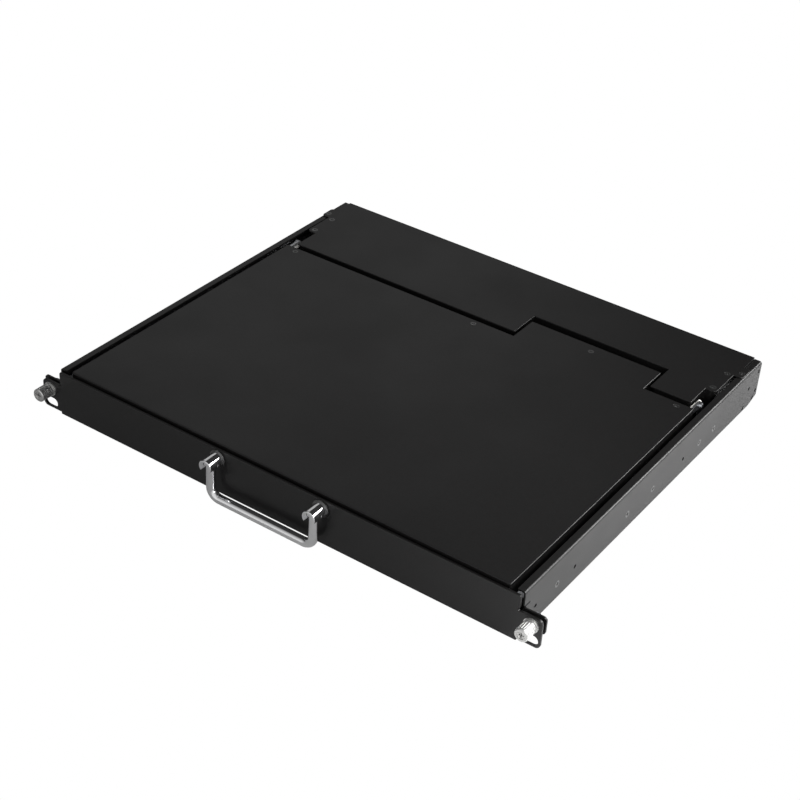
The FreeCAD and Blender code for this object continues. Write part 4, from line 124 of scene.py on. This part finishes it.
# materials by slot: both ends of the colour and of the roughness, grain in features per
# metre, and strength of the bump
LOOKS = {
    "black_coat": dict(dark=(0.0020, 0.0019, 0.0019), light=(0.0080, 0.0075, 0.0075),
                       rough=(0.36, 0.42), grain=900.0, strength=0.22),
    "lid_coat": dict(dark=(0.0020, 0.0019, 0.0019), light=(0.0080, 0.0075, 0.0075),
                     rough=(0.34, 0.40), grain=900.0, strength=0.60),
    "chrome_plate": dict(dark=(0.88, 0.88, 0.89), light=(0.93, 0.93, 0.94),
                         rough=(0.07, 0.13), grain=300.0, strength=0.04, metallic=1.0),
    "nickel_plate": dict(dark=(0.60, 0.60, 0.59), light=(0.74, 0.74, 0.73),
                         rough=(0.34, 0.44), grain=1600.0, strength=0.45, metallic=1.0),
    "black_screw": dict(dark=(0.10, 0.10, 0.10), light=(0.20, 0.20, 0.20),
                        rough=(0.24, 0.34), grain=2500.0, strength=0.25, metallic=0.9),
    "zinc_steel": dict(dark=(0.46, 0.47, 0.49), light=(0.60, 0.61, 0.63),
                       rough=(0.28, 0.40), grain=700.0, strength=0.15, metallic=1.0,
                       stretch=BRUSHED),
    "bearing_steel": dict(dark=(0.62, 0.62, 0.64), light=(0.72, 0.72, 0.74),
                          rough=(0.12, 0.20), grain=600.0, strength=0.08, metallic=1.0),
    "key_plastic": dict(dark=(0.028, 0.028, 0.029), light=(0.044, 0.044, 0.046),
                        rough=(0.50, 0.60), grain=3000.0, strength=0.30),
    "bezel_plastic": dict(dark=(0.014, 0.014, 0.015), light=(0.024, 0.024, 0.025),
                          rough=(0.42, 0.52), grain=2400.0, strength=0.30),
    "lcd_glass": dict(dark=(0.010, 0.011, 0.013), light=(0.014, 0.015, 0.018),
                      rough=(0.16, 0.22), grain=4000.0, strength=0.06, specular=0.6),
    "bumper_rubber": dict(dark=(0.016, 0.016, 0.016), light=(0.03, 0.03, 0.03),
                          rough=(0.70, 0.82), grain=1800.0, strength=0.4),
    "cable_jacket": dict(dark=(0.72, 0.71, 0.68), light=(0.86, 0.85, 0.82),
                         rough=(0.40, 0.50), grain=700.0, strength=0.15),
    "board_green": dict(dark=(0.008, 0.070, 0.035), light=(0.015, 0.110, 0.060),
                        rough=(0.25, 0.35), grain=500.0, strength=0.20),
    "port_shell": dict(dark=(0.50, 0.50, 0.52), light=(0.64, 0.64, 0.66),
                       rough=(0.24, 0.34), grain=900.0, strength=0.12, metallic=1.0),
    "rocker_plastic": dict(dark=(0.012, 0.012, 0.012), light=(0.020, 0.020, 0.020),
                           rough=(0.20, 0.28), grain=1500.0, strength=0.10),
}


# ------------------------------------------------------------------ shader helpers


def blank_tree(owner, output):
    """Node tree of a material or world, emptied but for a new output node."""
    owner.use_nodes = True
    tree = owner.node_tree
    tree.nodes.clear()
    return tree, tree.nodes.new(output)


def noise(tree, scale, detail, roughness, stretch=EVEN):
    """Object-space noise, with a number of features per metre."""
    coords = tree.nodes.new("ShaderNodeTexCoord")
    mapping = tree.nodes.new("ShaderNodeMapping")
    mapping.inputs["Scale"].default_value = stretch
    tree.links.new(coords.outputs["Object"], mapping.inputs["Vector"])
    texture = tree.nodes.new("ShaderNodeTexNoise")
    texture.inputs["Scale"].default_value = scale
    texture.inputs["Detail"].default_value = detail
    texture.inputs["Roughness"].default_value = roughness
    tree.links.new(mapping.outputs["Vector"], texture.inputs["Vector"])
    return texture.outputs["Fac"]


def spread(tree, value, low, high, start=NOISE_LOW, end=NOISE_HIGH):
    """Maps a value from the range start to end onto low to high."""
    node = tree.nodes.new("ShaderNodeMapRange")
    node.inputs["From Min"].default_value = start
    node.inputs["From Max"].default_value = end
    node.inputs["To Min"].default_value = low
    node.inputs["To Max"].default_value = high
    tree.links.new(value, node.inputs["Value"])
    return node.outputs["Result"]


def blend_colours(tree, value, dark, light):
    """Colour between dark and light, by a noise value."""
    ramp = tree.nodes.new("ShaderNodeValToRGB")
    first, second = ramp.color_ramp.elements
    first.position, first.color = NOISE_LOW, (*dark, 1.0)
    second.position, second.color = NOISE_HIGH, (*light, 1.0)
    tree.links.new(value, ramp.inputs["Fac"])
    return ramp.outputs["Color"]


def bump(tree, shader, value, strength):
    """Raises the shader's surface by a noise value."""
    node = tree.nodes.new("ShaderNodeBump")
    node.inputs["Strength"].default_value = strength
    node.inputs["Distance"].default_value = BUMP_DEPTH
    tree.links.new(value, node.inputs["Height"])
    tree.links.new(node.outputs["Normal"], shader.inputs["Normal"])


def split_rays(tree, out, seen, felt):
    """Shows one shader to the camera and the other to every other ray."""
    path = tree.nodes.new("ShaderNodeLightPath")
    mix = tree.nodes.new("ShaderNodeMixShader")
    tree.links.new(path.outputs["Is Camera Ray"], mix.inputs["Fac"])
    tree.links.new(felt, mix.inputs[1])
    tree.links.new(seen, mix.inputs[2])
    tree.links.new(mix.outputs["Shader"], out.inputs["Surface"])


# ------------------------------------------------------------------ materials


def surface(name, dark, light, rough, grain, strength, metallic=0.0, specular=0.5,
            stretch=EVEN):
    """Principled material whose colour, roughness and relief vary a little."""
    material = bpy.data.materials.new(name)
    tree, out = blank_tree(material, "ShaderNodeOutputMaterial")
    shader = tree.nodes.new("ShaderNodeBsdfPrincipled")
    tree.links.new(shader.outputs["BSDF"], out.inputs["Surface"])
    fine = noise(tree, grain, FINE_DETAIL, FINE_ROUGHNESS, stretch)
    broad = noise(tree, BROAD_GRAIN, BROAD_DETAIL, BROAD_ROUGHNESS)
    tree.links.new(blend_colours(tree, fine, dark, light), shader.inputs["Base Color"])
    tree.links.new(spread(tree, broad, *rough), shader.inputs["Roughness"])
    shader.inputs["Metallic"].default_value = metallic
    shader.inputs["Specular IOR Level"].default_value = specular
    bump(tree, shader, fine, strength)
    return material


MATERIALS = {slot: surface(slot, **look) for slot, look in LOOKS.items()}


def dress_nodes():
    """Gives every node of the CAD model the material of its slot."""
    for part in frame["record"]["subparts"]:
        thing = NODES[part["node"]]
        thing.data.materials.clear()
        thing.data.materials.append(MATERIALS[part["material_slot"]])


def soften(node):
    """Tiny round on the sharp edges of a sheet."""
    edge = NODES[node].modifiers.new("edge", "BEVEL")
    edge.width = EDGE_WIDTH
    edge.segments = EDGE_SEGMENTS
    edge.limit_method = "ANGLE"
    edge.angle_limit = math.radians(EDGE_ANGLE)
    edge.use_clamp_overlap = False


def add_object(name, data):
    """Puts mesh, light or camera data into the scene as an object."""
    thing = bpy.data.objects.new(name, data)
    bpy.context.scene.collection.objects.link(thing)
    return thing


# ------------------------------------------------------------------ bail bar


def arc_points(centre, start, turn, radius):
    """Points of a bend in the XZ plane, from one angle through a turn, both in radians."""
    return [centre + Vector((math.cos(start + turn * i / ARC_STEPS), 0.0,
                             math.sin(start + turn * i / ARC_STEPS))) * radius
            for i in range(ARC_STEPS + 1)]


def sweep(points, radius):
    """Round bar along points in the XZ plane, closed at both ends. Returns a bmesh."""
    mesh = bmesh.new()
    angles = [2 * math.pi * k / BAR_SIDES for k in range(BAR_SIDES)]
    last = len(points) - 1
    rings = []
    for i, point in enumerate(points):
        ahead = points[min(i + 1, last)] - points[max(i - 1, 0)]
        across = ALONG_Y.cross(ahead).normalized()
        rings.append([mesh.verts.new(point + radius * (math.cos(a) * across
                                                      + math.sin(a) * ALONG_Y))
                      for a in angles])
    for ring, after in zip(rings, rings[1:]):
        for k in range(BAR_SIDES):
            beside = (k + 1) % BAR_SIDES
            mesh.faces.new((ring[k], ring[beside], after[beside], after[k]))
    mesh.faces.new(rings[0])
    mesh.faces.new(rings[-1][::-1])
    return mesh


def bail_mesh():
    """Bent round bar with an eye at each end. Its width and thickness are the solid's."""
    low, high = (Vector(corner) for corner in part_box("bail_handle"))
    radius = (high.y - low.y) / 2.0
    y, top, bottom = low.y + radius, high.z - radius, low.z + radius + BAIL_RISE
    left, right = low.x + radius, high.x - radius
    left_bend = Vector((left + BAIL_BEND, y, bottom + BAIL_BEND))
    right_bend = Vector((right - BAIL_BEND, y, bottom + BAIL_BEND))
    path = [Vector((left, y, top))]
    path += arc_points(left_bend, math.pi, math.pi / 2, BAIL_BEND)
    path += arc_points(right_bend, -math.pi / 2, math.pi / 2, BAIL_BEND)
    path.append(Vector((right, y, top)))
    mesh = sweep(path, radius)
    for x in (left, right):
        turn = Matrix.Translation((x, y, top)) @ Matrix.Rotation(math.pi / 2, 4, "Y")
        bmesh.ops.create_cone(mesh, cap_ends=True, segments=EYE_SIDES, radius1=radius,
                              radius2=radius, depth=2 * radius, matrix=turn)
    bmesh.ops.recalc_face_normals(mesh, faces=mesh.faces)
    return mesh


def bail():
    """Bar that takes the place of the plain solid and swings with it."""
    data = bpy.data.meshes.new("bail_bar")
    mesh = bail_mesh()
    mesh.to_mesh(data)
    mesh.free()
    piece = add_object("bail_bar", data)
    for face in data.polygons:
        face.use_smooth = True
    data.set_sharp_from_angle(angle=math.radians(SMOOTH_ANGLE))
    data.materials.append(MATERIALS["chrome_plate"])
    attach(piece, "bail")
    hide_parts("bail_handle")


# ------------------------------------------------------------------ floor, light, camera


def add_floor():
    """Pale matt floor just under the part. The camera sees it as plain white."""
    z = CAD_BOX[0][2] - FLOOR_DROP
    corners = [(-FLOOR_REACH, -FLOOR_REACH, z), (FLOOR_REACH, -FLOOR_REACH, z),
               (FLOOR_REACH, FLOOR_REACH, z), (-FLOOR_REACH, FLOOR_REACH, z)]
    mesh = bpy.data.meshes.new("floor")
    mesh.from_pydata(corners, [], [(0, 1, 2, 3)])
    floor = add_object("floor", mesh)
    material = bpy.data.materials.new("floor_pale")
    tree, out = blank_tree(material, "ShaderNodeOutputMaterial")
    matt = tree.nodes.new("ShaderNodeBsdfDiffuse")
    matt.inputs["Color"].default_value = FLOOR_PALE
    white = tree.nodes.new("ShaderNodeEmission")
    white.inputs["Color"].default_value = WHITE
    split_rays(tree, out, white.outputs["Emission"], matt.outputs["BSDF"])
    floor.data.materials.append(material)


def add_world():
    """Plain white to the camera. To all other rays, pale in front and dark behind."""
    world = bpy.data.worlds.new("studio")
    bpy.context.scene.world = world
    tree, out = blank_tree(world, "ShaderNodeOutputWorld")
    coords = tree.nodes.new("ShaderNodeTexCoord")
    towards = tree.nodes.new("ShaderNodeVectorMath")
    towards.operation = "DOT_PRODUCT"
    towards.inputs[1].default_value = FRONT
    tree.links.new(coords.outputs["Generated"], towards.inputs[0])
    room = tree.nodes.new("ShaderNodeBackground")
    room.inputs["Color"].default_value = WHITE
    tree.links.new(spread(tree, towards.outputs["Value"], ROOM_REAR, ROOM_FRONT,
                          FADE_START, FADE_END), room.inputs["Strength"])
    white = tree.nodes.new("ShaderNodeBackground")
    white.inputs["Color"].default_value = WHITE
    split_rays(tree, out, white.outputs["Background"], room.outputs["Background"])


def add_lamp(name, place, target, width, height, power):
    """Rectangular area lamp, aimed at target."""
    data = bpy.data.lights.new(name, "AREA")
    data.shape = "RECTANGLE"
    data.size = width
    data.size_y = height
    data.energy = power
    lamp = add_object(name, data)
    lamp.location = place
    lamp.rotation_euler = (Vector(target) - Vector(place)).to_track_quat("-Z", "Y").to_euler()


def add_camera():
    """Camera of the main view."""
    data = bpy.data.cameras.new("camera")
    data.lens = LENS
    data.sensor_width = SENSOR_WIDTH
    camera = add_object("camera", data)
    azimuth, elevation = math.radians(AZIMUTH), math.radians(ELEVATION)
    back = Vector((math.sin(azimuth) * math.cos(elevation),
                   -math.cos(azimuth) * math.cos(elevation), math.sin(elevation)))
    roll = Matrix.Rotation(math.radians(ROLL), 3, "Z")
    turn = back.to_track_quat("Z", "Y").to_matrix() @ roll
    camera.matrix_world = Matrix.Translation(AIM + back * DISTANCE) @ turn.to_4x4()
    bpy.context.scene.camera = camera


dress_nodes()
for sheet in SOFT_SHEETS:
    soften(sheet)
bail()
add_floor()
add_world()
for name, lamp in LAMPS.items():
    add_lamp(name, **lamp)
add_camera()
bpy.context.scene.view_settings.view_transform = "Standard"
